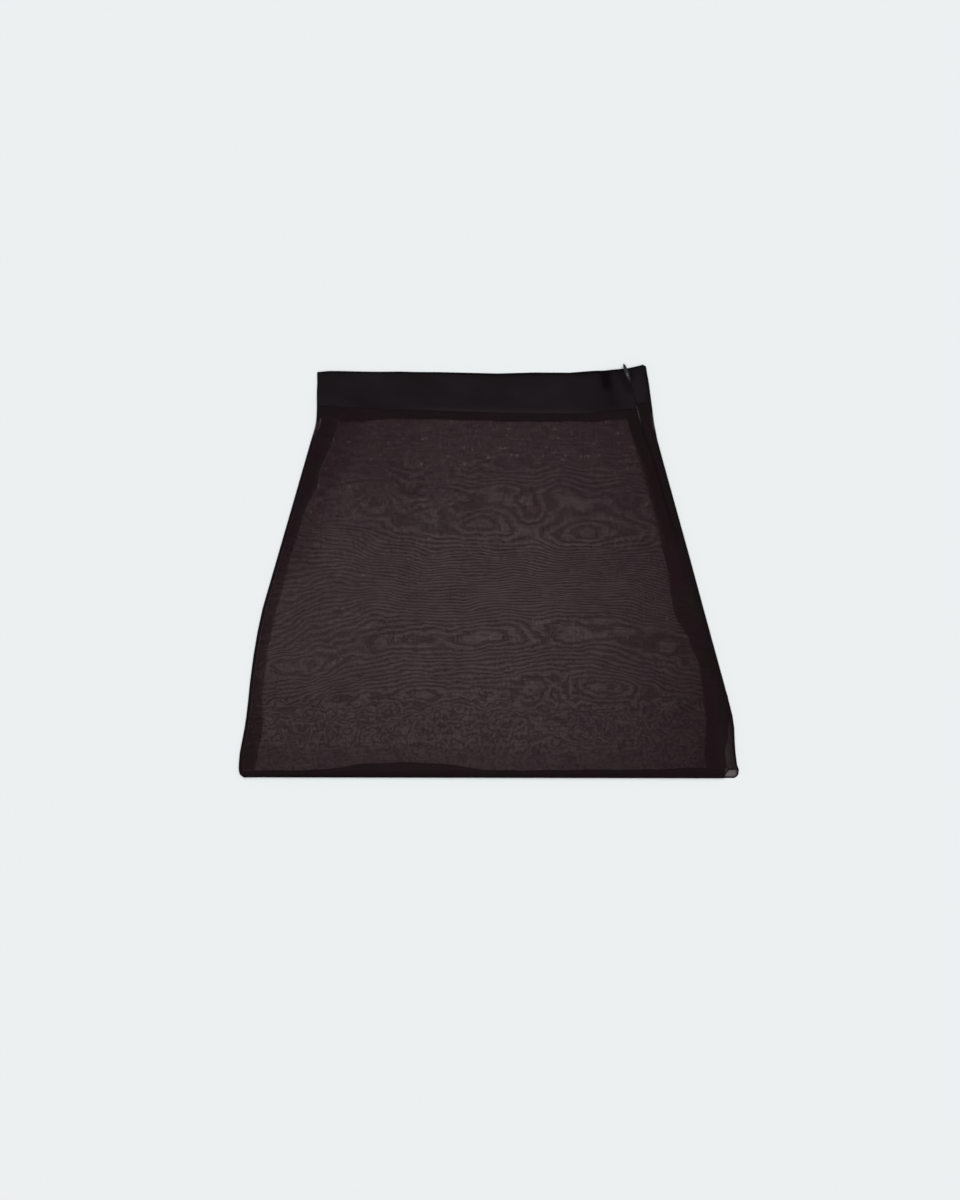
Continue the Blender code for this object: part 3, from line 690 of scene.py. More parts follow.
def band_facts(points, above_seam, below_top):
    """The numbers for the band: its edges are pressed dark, and it is a little worn above the waist seam."""
    x, height = points[..., 0], points[..., 1]
    on_top = points[..., 2] > 2
    ends = np.maximum(1 - fade(x, 100, 30), fade(x, -158, 12))
    pressed = np.maximum.reduce([
        pressed_edge(x - left_edge(height), 1.4),
        pressed_edge(right_edge(height) - x, 3.0),
        pressed_edge(below_top, 1.7 + 0.6 * above(x, 96, 14)),
        on_top * 0.8 * ends * pressed_edge(above_seam, 0.8 + 0.8 * above(x, 148, 6)),
    ])
    worn = hump(above_seam - 1.2, 2.2) * (1 - fade(x, -90, 50)) * fade(x, 70, 40)
    # The last number is painted shade and shadow on the band, beside the zip and round the slider.
    return {"pressed_edge": pressed, "worn_edge": on_top * worn, "nap": on_top * dip_and_slider_shade(x, height)}


def waistband(material):
    """One strip all round, with rounded edges."""
    left_fold, right_fold = fold_start(-1, BAND), fold_start(1, BAND)
    front = between(seam_left, left_fold, paces(330.0, ROUNDING, (0, 1, 3), 2.6))
    under = between(left_fold, right_fold, paces(330.0, (0, 1, 3), (0, 1, 3), 4.0))
    wrap = between(right_fold, seam_right, 1 - paces(14.0, ROUNDING[:-1], (0, 1), 2.0)[::-1])
    lower, behind = moved(front_waist, 0.03), moved(back_waist, 0.03)
    points = np.concatenate([
        top_points(front, BAND_ROWS, lower, front_band_edge, BAND, band_relief),
        fold_points(-1, BAND_ROWS, lower, front_band_edge, BAND),
        under_points(under, BAND_ROWS, behind, back_band_edge, BAND),
        fold_points(1, BAND_ROWS, behind, back_band_edge, BAND)[:, ::-1],
        top_points(wrap, BAND_ROWS, moved(wrap_waist, 0.03), front_band_edge, BAND, band_relief),
    ], axis=1)
    height = points[..., 1]
    above_seam, below_top = height - height[:1], height[-1:] - height
    steps = np.linalg.norm(np.diff(points, axis=1), axis=2)
    along = np.concatenate([np.zeros((len(points), 1)), np.cumsum(steps, axis=1)], axis=1)
    rim, end = np.minimum(above_seam, below_top), np.minimum(along, along[:, -1:] - along)
    half = rounded(rim) * rounded(end) * BAND / 2
    facts = band_facts(points, above_seam, below_top)
    return closed_skin("waistband_cloth", points, half, -half, material, 1, facts)


# ---------------------------------------------------------------- what lies between the front and the back

def band_step(x, height):
    return (BAND - CLOTH) * fade(front_waist(x) - height, 1, BAND_RISE)


def strip(name, sides, ends, shares, layer, material, wall=SHEER, shape=None, edges=None, thin=None):
    """A strip between the back and the front. layer(height) is its place above the back.

    edges says where it is pressed, thin how much thinner than elsewhere its cloth is.
    """
    def level_at(x, height):
        raised = shape(x, height) if shape else 0
        return LAYER * layer(height) + CLOTH / 2 + band_step(x, height) + raised

    across, along = shares
    points = crossings(between(*sides, across), along, *ends, level_at)
    x, height = points[..., 0], points[..., 1]
    facts = dict(fringes=0, tangle=1, swirl=0, rosy=0.5, fringe_depth=0, dashes=0)
    facts["pressed_edge"] = edges(x, height) if edges else 0
    facts["thickness_share"] = (thin(x, height) if thin else 0) + density(x, height)
    return closed_skin(name, points, wall / 2, -wall / 2, material, -1, facts)


def first_layer(height):
    return np.ones_like(height)


def second_layer(height):
    return 2 * np.ones_like(height)


def inside_left(height):
    return left_edge(height) + FOLD_CLEAR


def inside_right(height):
    """Just below the waistband it stays further in, and the light comes through the fold."""
    return right_edge(height) - FOLD_CLEAR - 1.6 * near(height, 357, 7, 7)


def cut(place, size=0.35):
    """The slight unevenness of an edge cut with shears."""
    return size * (np.sin(place / 7.3) + 0.6 * np.sin(place / 3.1 + 1) + 0.5 * np.sin(place / 17 + 2))


def hem_side(height):
    """The turned hems end where the front is drawn up."""
    return np.minimum(inside_right(height), CORNER_X - 0.6)


def hem_turning(name, depth, wave, layer, to_panel, width, material):
    """Its lower edge comes over to its panel's, where the cloth is folded. to_panel is the way there."""
    def rise(x, height):
        return to_panel(x, height) * pressed_edge(height - hem_edge(x) - HEM_INSET, 1.1)

    def upper(x):
        return hem_edge(x) + depth(x) + cut(x + wave, 0.25)

    def edges(x, height):
        return 0.05 + 0.6 * pressed_edge(height - hem_edge(x), 1.0) + 0.32 * (1 - fade(x, 20, 90))

    shares = (paces(480.0, (0, 1, 3), (0, 1, 3)), paces(width, HEM_ROUNDING, (0, 0.6, 1.5), 1.5))
    return strip(name, (inside_left, hem_side), (moved(hem_edge, HEM_INSET), upper), shares, layer, material,
                 shape=rise, edges=edges)


def front_hem(material):
    return hem_turning("front_hem_turning", hem_depth, 0, second_layer,
                       lambda x, height: lift(x, height) - LAYER - SHEER, 10.0, material)


def back_hem(material):
    return hem_turning("back_hem_turning", level(BACK_HEM_DEPTH), 40, first_layer,
                       lambda x, height: SHEER - LAYER, 7.0, material)


def above_hems(x):
    return hem_edge(x) + np.maximum(hem_depth(x), BACK_HEM_DEPTH) + GAP


def waist_turning(name, depth, past_tape, layer, material):
    def beside_tape(height):
        return seam_x(height) - TAPE_HALF + past_tape

    def lower(x):
        return front_waist(x) - depth(x) + cut(x + 20, 0.3)

    def thin(x, height):
        return -0.14 * hump(height - lower(x), 1.6)

    shares = (paces(305.0, (0, 1, 3), (0, 1, 3)), paces(9.0, (0, 0.5, 1.2), (0, 0.8), 1.5))
    return strip(name, (inside_left, beside_tape), (lower, moved(front_waist, 1.2)), shares, layer, material,
                 thin=thin)


def front_waist_turning(material):
    return waist_turning("front_waist_turning", waist_depth, 1.0, second_layer, material)


def back_waist_turning(material):
    return waist_turning("back_waist_turning", level(BACK_WAIST_DEPTH), -1.0, first_layer, material)


def left_inner(height):
    return left_edge(height) + left_width(height) + cut(height)


def left_outer(height):
    return inside_left(height) + left_inset(height)


def left_allowance(material):
    """Its cut edge is loose, most of all near the waist."""
    def below_waist(x):
        return front_waist(x) - waist_depth(x) - GAP

    def thin(x, height):
        loose = 3.0 + 3.5 * above(height, 330, 30)
        return -0.2 * hump(left_inner(height) - x, loose) - 0.08 * near(height, 150, 76, 30)

    shares = (paces(14.0, (0, 0.8), (0, 0.5, 1.2, 2.4, 4), 2.5), paces(340.0, (0, 1), (0, 1)))
    return strip("left_seam_turning", (left_outer, left_inner), (above_hems, below_waist), shares,
                 first_layer, material, thin=thin)


def right_inner(height):
    return seam_x(height) - right_width(height) - cut(height + 11)


def right_outer(height):
    """Beside the coil it stays clear of it; below the zip both allowances are pressed out to the fold."""
    beside_coil = seam_x(height) - COIL_ROOM
    share = fade(ZIP_END - height, 2, 8)
    return share * beside_coil + (1 - share) * inside_right(height) - right_inset(height)


def right_allowance(material):
    def thin(x, height):
        loose = 2.4 + 4.0 * above(height, 330, 30)
        outer = fade(right_edge(height) - x, 9, 5) * (1 - near(height, 178, 8, 22))
        on_tape = 0.12 * fade(TAPE_END + 14 - height, 0, 14)
        return 0.1 * outer - on_tape - 0.2 * hump(x - right_inner(height), loose)

    shares = (paces(18.0, (0, 0.5, 1.2, 2.4, 4), (0, 0.8), 2.5), paces(350.0, (0, 1), (0, 1)))
    return strip("right_seam_turning", (right_inner, right_outer), (above_hems, moved(front_waist, -GAP)),
                 shares, zip_layers, material, thin=thin)


def zip_allowance(material):
    shares = (paces(8.0, (0, 0.5), (0, 0.5), 1.5), paces(124.0, (0, 1), (0, 1)))
    return strip("back_zip_turning", (moved(seam_x, COIL_ROOM), inside_right),
                 (level(ZIP_END), moved(wrap_waist, -GAP)), shares, second_layer, material)


def zip_tape(material):
    """It is knitted more loosely along its left edge and at its lower end."""
    left = moved(seam_x, -TAPE_HALF)

    def right(height):
        return np.minimum(seam_x(height) + TAPE_HALF, inside_right(height))

    def thin(x, height):
        loose = hump(x - left(height), 2.6) * fade(height, 338, 12)
        return -0.35 * np.maximum(loose, fade(height - TAPE_END, 0, 12))

    shares = (paces(22.0, (0, 0.5, 1.2, 2.2), (0, 0.5), 1.5), paces(172.0, (0, 1, 3, 6), (0, 1)))
    return strip("zip_tape_cloth", (left, right), (level(TAPE_END), level(TAPE_TOP)), shares, first_layer,
                 material, wall=TAPE_WALL, thin=thin)


# ---------------------------------------------------------------- rows of stitches and teeth

def feed(tree, socket, value):
    """A socket takes a plain value or another node's output."""
    if isinstance(value, bpy.types.NodeSocket):
        tree.links.new(value, socket)
    else:
        socket.default_value = value


def add_node(tree, kind, feeds=None, **settings):
    """A node with its settings, and with its sockets fed by name or by number."""
    made = tree.nodes.new(kind)
    for name, value in settings.items():
        setattr(made, name, value)
    for socket, value in (feeds or {}).items():
        feed(tree, made.inputs[socket], value)
    return made


def row_tree():
    """Geometry Nodes: one part after another along a path, turned to it."""
    tree = bpy.data.node_groups.new("row_of_parts", "GeometryNodeTree")
    for name, kind, value in (
        ("Path", "Geometry", None), ("Part", "Object", None), ("Material", "Material", None),
        ("Spacing", "Float", 0.002), ("First turn", "Float", 0.0), ("Alternate turn", "Float", 0.0),
        ("Unevenness", "Float", 0.0), ("Seed", "Int", 1),
    ):
        socket = tree.interface.new_socket(name, in_out="INPUT", socket_type="NodeSocket" + kind)
        if value is not None:
            socket.default_value = value
    tree.interface.new_socket("Row", in_out="OUTPUT", socket_type="NodeSocketGeometry")

    def add(kind, feeds=None, **settings):
        return add_node(tree, kind, feeds, **settings).outputs

    def multiply_add(value, share, more):
        return add("ShaderNodeMath", {0: value, 1: share, 2: more}, operation="MULTIPLY_ADD")[0]

    given = add("NodeGroupInput")
    curve = add("GeometryNodeMeshToCurve", {"Mesh": given["Path"]})["Curve"]
    marks = add("GeometryNodeResampleCurve", {"Curve": curve, "Length": given["Spacing"]}, mode="LENGTH")
    part = add("GeometryNodeObjectInfo", {"As Instance": True, "Object": given["Part"]})

    tangent = add("GeometryNodeInputTangent")["Tangent"]
    align = add("FunctionNodeAlignRotationToVector", {"Vector": tangent}, axis="X", pivot_axis="Z")
    odd = add("ShaderNodeMath", {0: add("GeometryNodeInputIndex")["Index"], 1: 2}, operation="MODULO")[0]
    alternate = multiply_add(odd, given["Alternate turn"], given["First turn"])
    stray = add("FunctionNodeRandomValue", {"Min": -1, "Max": 1, "Seed": given["Seed"]}, data_type="FLOAT")
    turn = multiply_add(stray["Value"], given["Unevenness"], alternate)
    angles = add("ShaderNodeCombineXYZ", {"Z": turn})[0]
    turned = add("FunctionNodeEulerToRotation", {0: angles})[0]
    rotate = add("FunctionNodeRotateRotation", {"Rotation": align["Rotation"], "Rotate By": turned},
                 rotation_space="LOCAL")

    parts = add("GeometryNodeInstanceOnPoints", {
        "Points": marks["Curve"], "Instance": part["Geometry"], "Rotation": rotate["Rotation"]})
    real = add("GeometryNodeRealizeInstances", {"Geometry": parts["Instances"]})
    coloured = add("GeometryNodeSetMaterial", {"Geometry": real["Geometry"], "Material": given["Material"]})
    add("NodeGroupOutput", {"Row": coloured["Geometry"]})
    return tree


def plain_mesh(maker):
    """An object's finished shape as a plain mesh. The object is taken away with its modifiers."""
    bpy.context.view_layer.update()
    mesh = bpy.data.meshes.new_from_object(maker.evaluated_get(bpy.context.evaluated_depsgraph_get()))
    bpy.data.objects.remove(maker)
    return mesh


def mesh_from(name, work):
    """A mesh of what bmesh has worked on."""
    mesh = bpy.data.meshes.new(name)
    work.to_mesh(mesh)
    work.free()
    return mesh


def row_path(lines):
    """Lines of points, as an object of edges."""
    points, edges = [], []
    for line in lines:
        first = len(points)
        points += ((np.asarray(line) - (0, LENGTH / 2, 0)) * MM).tolist()
        edges += [(i, i + 1) for i in range(first, len(points) - 1)]
    mesh = bpy.data.meshes.new("row_path")
    mesh.from_pydata(points, edges, [])
    return new_object("row_path", mesh)


def row_of_parts(name, tree, lines, part, material, spacing, turns, unevenness, seed):
    """The tree's row along the lines, as one piece. The part that it repeats is taken away."""
    maker = row_path(lines)
    modifier = maker.modifiers.new("row", "NODES")
    modifier.node_group = tree
    first, alternate = turns
    values = {"Part": part, "Material": material, "Spacing": spacing * MM, "First turn": first,
              "Alternate turn": alternate, "Unevenness": unevenness, "Seed": seed}
    for item in tree.interface.items_tree:
        if item.name in values:
            modifier[item.identifier] = values[item.name]
    mesh = plain_mesh(maker)
    bpy.data.objects.remove(part)
    mesh.name = name
    mesh.materials.clear()
    mesh.materials.append(material)
    mesh.shade_smooth()
    return new_object(name, mesh)


def stitch_part(length, thick):
    """One stitch of thread, along x. Swapping x and z turns it inside out, so its faces are reversed."""
    work = bmesh.new()
    bmesh.ops.create_uvsphere(work, u_segments=8, v_segments=6, radius=1)
    for vertex in work.verts:
        x, y, z = vertex.co
        vertex.co = (z * length / 2 * MM, y * thick / 2 * MM, x * thick / 2 * MM)
    bmesh.ops.reverse_faces(work, faces=work.faces)
    return new_object("stitch", mesh_from("stitch", work))


def tooth_part():
    """One turn of the coil: a loop across the zip whose head hooks over the middle line."""
    points = np.array([
        (0, -1.35, -0.28), (0, -0.7, -0.32), (0, 0.1, -0.30), (0.04, 0.34, -0.1), (0.08, 0.34, 0.12),
        (0.12, 0.1, 0.30), (0.16, -0.6, 0.32), (0.2, -1.2, 0.24), (0.22, -1.38, 0.02), (0.22, -1.36, -0.2),
    ])
    sides = 6
    ahead = np.gradient(points, axis=0)
    ahead /= np.linalg.norm(ahead, axis=1, keepdims=True)
    side = np.array((1.0, 0.0, 0.0))
    work = bmesh.new()
    rings = []
    for centre, along in zip(points, ahead):
        up = np.cross(along, side)
        up /= np.linalg.norm(up)
        rings.append([work.verts.new((centre + TOOTH_WIRE * (math.cos(a) * side + math.sin(a) * up)) * MM)
                      for a in np.linspace(0, 2 * math.pi, sides, endpoint=False)])
    for ring, after in zip(rings, rings[1:]):
        for i in range(sides):
            work.faces.new((ring[i], ring[(i + 1) % sides], after[(i + 1) % sides], after[i]))
    work.faces.new(rings[0][::-1])
    work.faces.new(rings[-1])
    bmesh.ops.recalc_face_normals(work, faces=work.faces)
    return new_object("tooth", mesh_from("tooth", work))


def line_up(x, start, end, z, step=2.0):
    """A line up the skirt: x is a function of the height, z of both."""
    height = np.linspace(start, end, int(abs(end - start) / step) + 2)
    return np.stack([x(height), height, z(x(height), height)], axis=1)


def line_across(start, end, height, z, step=2.0):
    """A line across the skirt: the height is a function of x, z of both."""
    x = np.linspace(start, end, int(abs(end - start) / step) + 2)
    return np.stack([x, height(x), z(x, height(x))], axis=1)


def strip_top(layer):
    return lambda x, height: LAYER * layer(height) + CLOTH / 2 + SHEER / 2


def front_top(x, height):
    return CLOTH + GAP + lift(x, height) + CLOTH + relief(x, height)


def band_top(x, height):
    return BAND + GAP + lift(x, height) + BAND + band_relief(x, height)


def overlock(tree, material):
    """The zigzag that binds the cut edges of the allowances and the front's hem."""
    inset = OVERLOCK_INSET
    first, second = strip_top(first_layer), strip_top(second_layer)
    lines = [
        line_up(lambda h: left_inner(h) - inset, 20, 352, first),
        line_up(lambda h: right_inner(h) + inset, 14, 356, strip_top(zip_layers)),
        line_across(-150, 136, lambda x: front_waist(x) - waist_depth(x) + inset, second),
        line_across(-150, 136, lambda x: front_waist(x) - BACK_WAIST_DEPTH + inset, first),
        line_across(-228, 206, lambda x: hem_edge(x) + hem_depth(x) - inset, second),
    ]
    return row_of_parts("overlock_stitches", tree, lines, stitch_part(*OVERLOCK_STITCH), material,
                        OVERLOCK_SPACING, (OVERLOCK_SLANT, -2 * OVERLOCK_SLANT), 0.08, 3)


def seam_stitches(tree, material):
    """The hem's stitches, and those in the ditch along the waistband."""
    lines = [
        line_across(-236, 232, lambda x: hem_edge(x) + hem_depth(x) - SEAM_INSET, front_top),
        line_across(-166, 144, moved(front_waist, DITCH), band_top),
        line_across(150.5, 160, moved(wrap_waist, DITCH), band_top),
    ]
    return row_of_parts("seam_stitches", tree, lines, stitch_part(*SEAM_STITCH), material, SEAM_SPACING,
                        (0.0, 0.0), 0.05, 7)


def coil_teeth(tree, material):
    """The closed coil's teeth, one from each side in turn."""
    top = SLIDER_HEIGHT - SLIDER_SIZE[1] / 2 - COIL_END

    def middle(x, height):
        return 2 * LAYER + CLOTH / 2 + band_step(x, height)

    line = line_up(seam_x, ZIP_END + 0.6, top - 0.6, middle)
    return row_of_parts("zip_coil_teeth", tree, [line], tooth_part(), material, TOOTH_PITCH, (0.0, math.pi),
                        0.0, 1)


# ---------------------------------------------------------------- the slider and its pull tab

def bar_reach():
    """How far the corners of the pull tab's bar stand out from the hinge."""
    return math.hypot(PULL_BAR, PULL_WALL) / 2


def hinge_z():
    return BAND + GAP + 2 * LAYER + BAND + GAP + bar_reach()


def rounded_corners(points, radius):
    """An outline with its corners rounded."""
    result = []
    count = len(points)
    for i in range(count):
        before, here, after = (np.array(points[k % count], dtype=float) for k in (i - 1, i, i + 1))
        one, two = before - here, after - here
        reach_in = min(radius, np.linalg.norm(one) / 2.01, np.linalg.norm(two) / 2.01)
        start = here + one / np.linalg.norm(one) * reach_in
        end = here + two / np.linalg.norm(two) * reach_in
        for t in np.linspace(0, 1, CORNER_STEPS + 1):
            result.append(tuple((1 - t) ** 2 * start + 2 * t * (1 - t) * here + t ** 2 * end))
    return result


def arch_line(half, foot, top, radius):
    """One line of the bridge: its feet stay square and its two upper corners are rounded."""
    points = [(half, foot), (half, top), (-half, top), (-half, foot)]
    corner = CORNER_STEPS + 1
    return [points[0], *rounded_corners(points, radius)[corner:3 * corner], points[3]]


def flat_part(name, loops, wall, edge):
    """A flat mesh cut to an outline, with its edges rounded; further loops are its holes."""
    curve = bpy.data.curves.new(name, "CURVE")
    curve.dimensions = "2D"
    curve.fill_mode = "BOTH"
    curve.extrude = (wall / 2 - edge) * MM
    curve.bevel_depth = edge * MM
    curve.bevel_resolution = 3
    curve.offset = -edge * MM
    for points in loops:
        spline = curve.splines.new("POLY")
        spline.points.add(len(points) - 1)
        for point, (x, y) in zip(spline.points, points):
            point.co = (x * MM, y * MM, 0, 1)
        spline.use_cyclic_u = True
    work = bmesh.new()
    work.from_mesh(plain_mesh(new_object(name, curve)))
    bmesh.ops.remove_doubles(work, verts=work.verts, dist=0.000004)
    bmesh.ops.recalc_face_normals(work, faces=work.faces)
    return mesh_from(name, work)


def placed(name, material, *parts):
    """Flat parts put in their places and joined as one piece, its object left at the origin."""
    work = bmesh.new()
    for mesh, matrix in parts:
        mesh.transform(matrix)
        work.from_mesh(mesh)
    mesh = mesh_from(name, work)
    mesh.materials.append(material)
    mesh.shade_smooth()
    mesh.set_sharp_from_angle(angle=math.radians(40))
    return new_object(name, mesh)


def slider_place():
    """The slider's place and turn on the slanting seam."""
    shift = Matrix.Translation((float(seam_x(SLIDER_HEIGHT)) * MM, (SLIDER_HEIGHT - LENGTH / 2) * MM, 0))
    return shift @ Matrix.Rotation(SLIDER_TURN, 4, "Z")


def zip_slider(material):
    """The body inside the band and the bridge that comes out through the seam."""
    width, length = SLIDER_SIZE
    low, high = width * SLIDER_TAPER / 2, width / 2
    outline = [(low, -length / 2), (high, length / 2), (-high, length / 2), (-low, -length / 2)]
    body = flat_part("slider_body", [rounded_corners(outline, 1.0)], CLOTH, 0.22)
    middle = BAND + GAP + LAYER + CLOTH / 2
    hole = hinge_z() + bar_reach() + GAP
    outside = arch_line(BRIDGE_HALF, middle, hole + BRIDGE_TOP, 0.7)
    inside = arch_line(BRIDGE_LEG - BRIDGE_HALF, middle, hole, 0.4)
    bridge = flat_part("slider_bridge", [outside + inside], BRIDGE_WIDTH, 0.18)
    stand = Matrix.Rotation(math.pi / 2, 4, "Z") @ Matrix.Rotation(math.pi / 2, 4, "X")
    place = slider_place()
    return placed("zip_slider_enamel", material,
                  (body, place @ Matrix.Translation((0, 0, middle * MM))), (bridge, place @ stand))


def zip_pull(material):
    """The tab, with an eye that hangs in the bridge."""
    side = [(row.half_width, row.along) for row in PULL]
    outline = side + [(0.0, PULL_LENGTH)] + [(-x, y) for x, y in reversed(side)]
    half, near_end = EYE_WIDTH / 2, PULL_BAR / 2
    eye = [(half, near_end), (half, EYE_LENGTH), (-half, EYE_LENGTH), (-half, near_end)]
    tab = flat_part("pull_tab_enamel", [outline, rounded_corners(eye, 0.6)], PULL_WALL, 0.16)
    raised = Matrix.Translation((0, 0, hinge_z() * MM)) @ Matrix.Rotation(PULL_RAISE, 4, "X")
    return placed("zip_pull_enamel", material, (tab, slider_place() @ raised))


# ---------------------------------------------------------------- materials

class Finish:
    """A node material, with short words for the nodes it is built from."""

    def __init__(self, name, roughness, specular, sheen=0.0, sheen_roughness=0.4):
        self.material = bpy.data.materials.new(name)
        self.material.use_nodes = True
        self.tree = self.material.node_tree
        self.shader = self.tree.nodes["Principled BSDF"]
        for socket, value in (("Roughness", roughness), ("Specular IOR Level", specular),
                              ("Sheen Weight", sheen), ("Sheen Roughness", sheen_roughness)):
            self.shader.inputs[socket].default_value = value

    def add(self, kind, feeds=None, **settings):
        return add_node(self.tree, kind, feeds, **settings).outputs

    def math(self, operation, *values, clamp=False):
        return self.add("ShaderNodeMath", dict(enumerate(values)), operation=operation, use_clamp=clamp)[0]

    def times(self, value, other, clamp=False):
        return self.math("MULTIPLY", value, other, clamp=clamp)

    def minus(self, value, less, clamp=False):
        return self.math("SUBTRACT", value, less, clamp=clamp)

    def plus(self, value, more, share=1.0, clamp=False):
        """The value and a share of more."""
        return self.math("MULTIPLY_ADD", more, share, value, clamp=clamp)

    def fact(self, name):
        return self.add("ShaderNodeAttribute", attribute_name=name)["Fac"]

    def apart(self, place):
        return list(self.add("ShaderNodeSeparateXYZ", {0: place}))

    def cloth_place(self):
        """The place on the cloth, and its two parts: across and up."""
        place = self.add("ShaderNodeUVMap", uv_map="cloth")["UV"]
        return place, *self.apart(place)[:2]

    def solid_place(self):
        return self.add("ShaderNodeTexCoord")["Object"]

    def noise(self, place, scale, detail=2.0, roughness=0.5, stretch=None):
        if stretch:
            place = self.add("ShaderNodeVectorMath", {0: place, 1: stretch}, operation="MULTIPLY")[0]
        feeds = {"Vector": place, "Scale": scale, "Detail": detail, "Roughness": roughness}
        return self.add("ShaderNodeTexNoise", feeds)["Fac"]

    def wave(self, turns):
        """From 1 to -1 and back, once every turn."""
        return self.math("COSINE", self.times(turns, 2 * math.pi))

    def ribs(self, place, pitch):
        """-1 to 1, once every pitch metres."""
        return self.math("SINE", self.times(place, 2 * math.pi / pitch))

    def colours(self, share, first, second):
        """From the first colour to the second."""
        made = add_node(self.tree, "ShaderNodeMix", {"Factor": share}, data_type="RGBA")
        for name, value in (("A", first), ("B", second)):
            socket = next(s for s in made.inputs if s.type == "RGBA" and s.name == name)
            feed(self.tree, socket, value if isinstance(value, bpy.types.NodeSocket) else (*value, 1))
        return next(out for out in made.outputs if out.type == "RGBA")

    def colour(self, value):
        feed(self.tree, self.shader.inputs["Base Color"], value)

    def bump(self, height, distance, strength):
        made = self.add("ShaderNodeBump", {"Distance": distance, "Strength": strength, "Height": height})
        feed(self.tree, self.shader.inputs["Normal"], made["Normal"])

    def see_through(self, opacity, passed):
        clear = self.add("ShaderNodeBsdfTransparent", {"Color": (*passed, 1)})[0]
        mix = self.add("ShaderNodeMixShader", {"Fac": opacity, 1: clear, 2: self.shader.outputs[0]})[0]
        feed(self.tree, self.tree.nodes["Material Output"].inputs["Surface"], mix)


OPACITY = 0.330            # of one face of the chiffon's skin, in the middle of the skirt
PASSED = (1.0, 0.959, 0.964)   # colour of the light that one face lets through
YARN_PITCH = 0.0006        # of the weave. Sizes in the materials are in metres
DASH_PITCH = 0.0029
PRESSED = (0.0016, 0.0009, 0.0012)


def watered_fringes(cloth, place):
    """Light and dark lines where the two weaves run in and out of step, fainter in places."""
    stray = cloth.noise(place, 102, 1.4, 0.45, stretch=(0.8, 1, 1))
    wide = cloth.noise(place, 52, 1.5, 0.4, stretch=(0.6, 1, 1))
    bend = cloth.noise(place, 44, 1, stretch=(0.7, 1, 1))
    crinkle = cloth.noise(place, 330, 1, stretch=(0.7, 1, 1))
    tangled = cloth.times(cloth.minus(stray, 0.5), cloth.fact("tangle"))
    swirled = cloth.times(cloth.minus(wide, 0.5), cloth.fact("swirl"))
    count = cloth.fact("fringes")
    for more, share in ((tangled, 4.8), (swirled, 4.2), (bend, 2.6), (crinkle, 0.9)):
        count = cloth.plus(count, more, share)
    faint = cloth.minus(0.55, cloth.noise(place, 33, 2, stretch=(1, 1.5, 1)))
    faint = cloth.times(cloth.times(faint, 9.0, clamp=True), cloth.fact("swirl"))
    depth = cloth.times(cloth.plus(1.0, faint, -0.8), cloth.fact("fringe_depth"))
    return cloth.times(cloth.wave(count), depth)


def upright_dashes(cloth, place, across, patch):
    """Single yarns that show in patches where the fringes are far apart."""
    turns = cloth.plus(cloth.math("DIVIDE", across, DASH_PITCH), cloth.noise(place, 60, 2), 6.0)
    dash = cloth.times(cloth.wave(turns), patch)
    return cloth.times(dash, cloth.times(cloth.fact("dashes"), cloth.fact("fringe_depth")))


def light_flecks(cloth, place, patch):
    """Small flecks among the tangled fringes, where more light comes through."""
    fleck = cloth.minus(cloth.noise(place, 380, 1, stretch=(1, 0.6, 1)), 0.57)
    return cloth.times(cloth.times(cloth.times(fleck, 8.0, clamp=True), patch), cloth.fact("swirl"))


def chiffon_finish(name, first, second):
    """Sheer plain weave: thin crepe yarns, the watered pattern, and denser at its pressed edges."""
    cloth = Finish(name, roughness=0.75, specular=0.05, sheen=0.03, sheen_roughness=0.5)
    place, across, up = cloth.cloth_place()
    weave = cloth.times(cloth.ribs(across, YARN_PITCH), cloth.ribs(up, YARN_PITCH))
    slub = cloth.noise(place, 620, 2, stretch=(1, 0.12, 1))
    cross = cloth.noise(place, 520, 2, stretch=(0.08, 1, 1))
    cloud = cloth.noise(place, 30, 3)
    patch = cloth.minus(cloth.noise(place, 60, 1, stretch=(1, 2.2, 1)), 0.46)
    patch = cloth.times(patch, 5.0, clamp=True)

    opacity = cloth.plus(OPACITY, watered_fringes(cloth, place), 0.068)
    opacity = cloth.plus(opacity, light_flecks(cloth, place, patch), -0.2)
    opacity = cloth.plus(opacity, upright_dashes(cloth, place, across, patch), 0.075)
    opacity = cloth.plus(opacity, weave, 0.02)
    for grain, depth in ((slub, 0.10), (cross, 0.07), (cloud, 0.05)):
        opacity = cloth.plus(opacity, cloth.minus(grain, 0.5), depth)
    opacity = cloth.plus(opacity, cloth.fact("thickness_share"))
    opacity = cloth.plus(opacity, cloth.fact("pressed_edge"), 0.6, clamp=True)
    cloth.see_through(opacity, PASSED)

    pressed = cloth.times(cloth.fact("pressed_edge"), 0.85, clamp=True)
    tint = cloth.plus(cloth.fact("rosy"), cloth.minus(cloud, 0.5), 2.5, clamp=True)
    cloth.colour(cloth.colours(pressed, cloth.colours(tint, first, second), PRESSED))
    cloth.bump(cloth.plus(cloth.plus(slub, cross), weave, 0.3), 0.00008, 0.6)
    return cloth.material


def chiffon():
    return chiffon_finish("chiffon_dark_plum", (0.0110, 0.0079, 0.0079), (0.0159, 0.0056, 0.0094))


def turned_chiffon():
    # The same chiffon as the panels, painted lighter: its own colour plus painted light that makes up for
    # the front's shade over the turnings.
    return chiffon_finish("chiffon_turned_edges", (0.0200, 0.0190, 0.0215), (0.0385, 0.0250, 0.0305))


def waist_chiffon():
    """The waist seam's turnings look greyer: the band's facing is sewn in with them. Like the other turnings
    they are painted lighter than the panels, as painted light under the front.
    """
    return chiffon_finish("chiffon_waist_turnings", (0.0225, 0.0255, 0.0270), (0.0390, 0.0345, 0.0385))


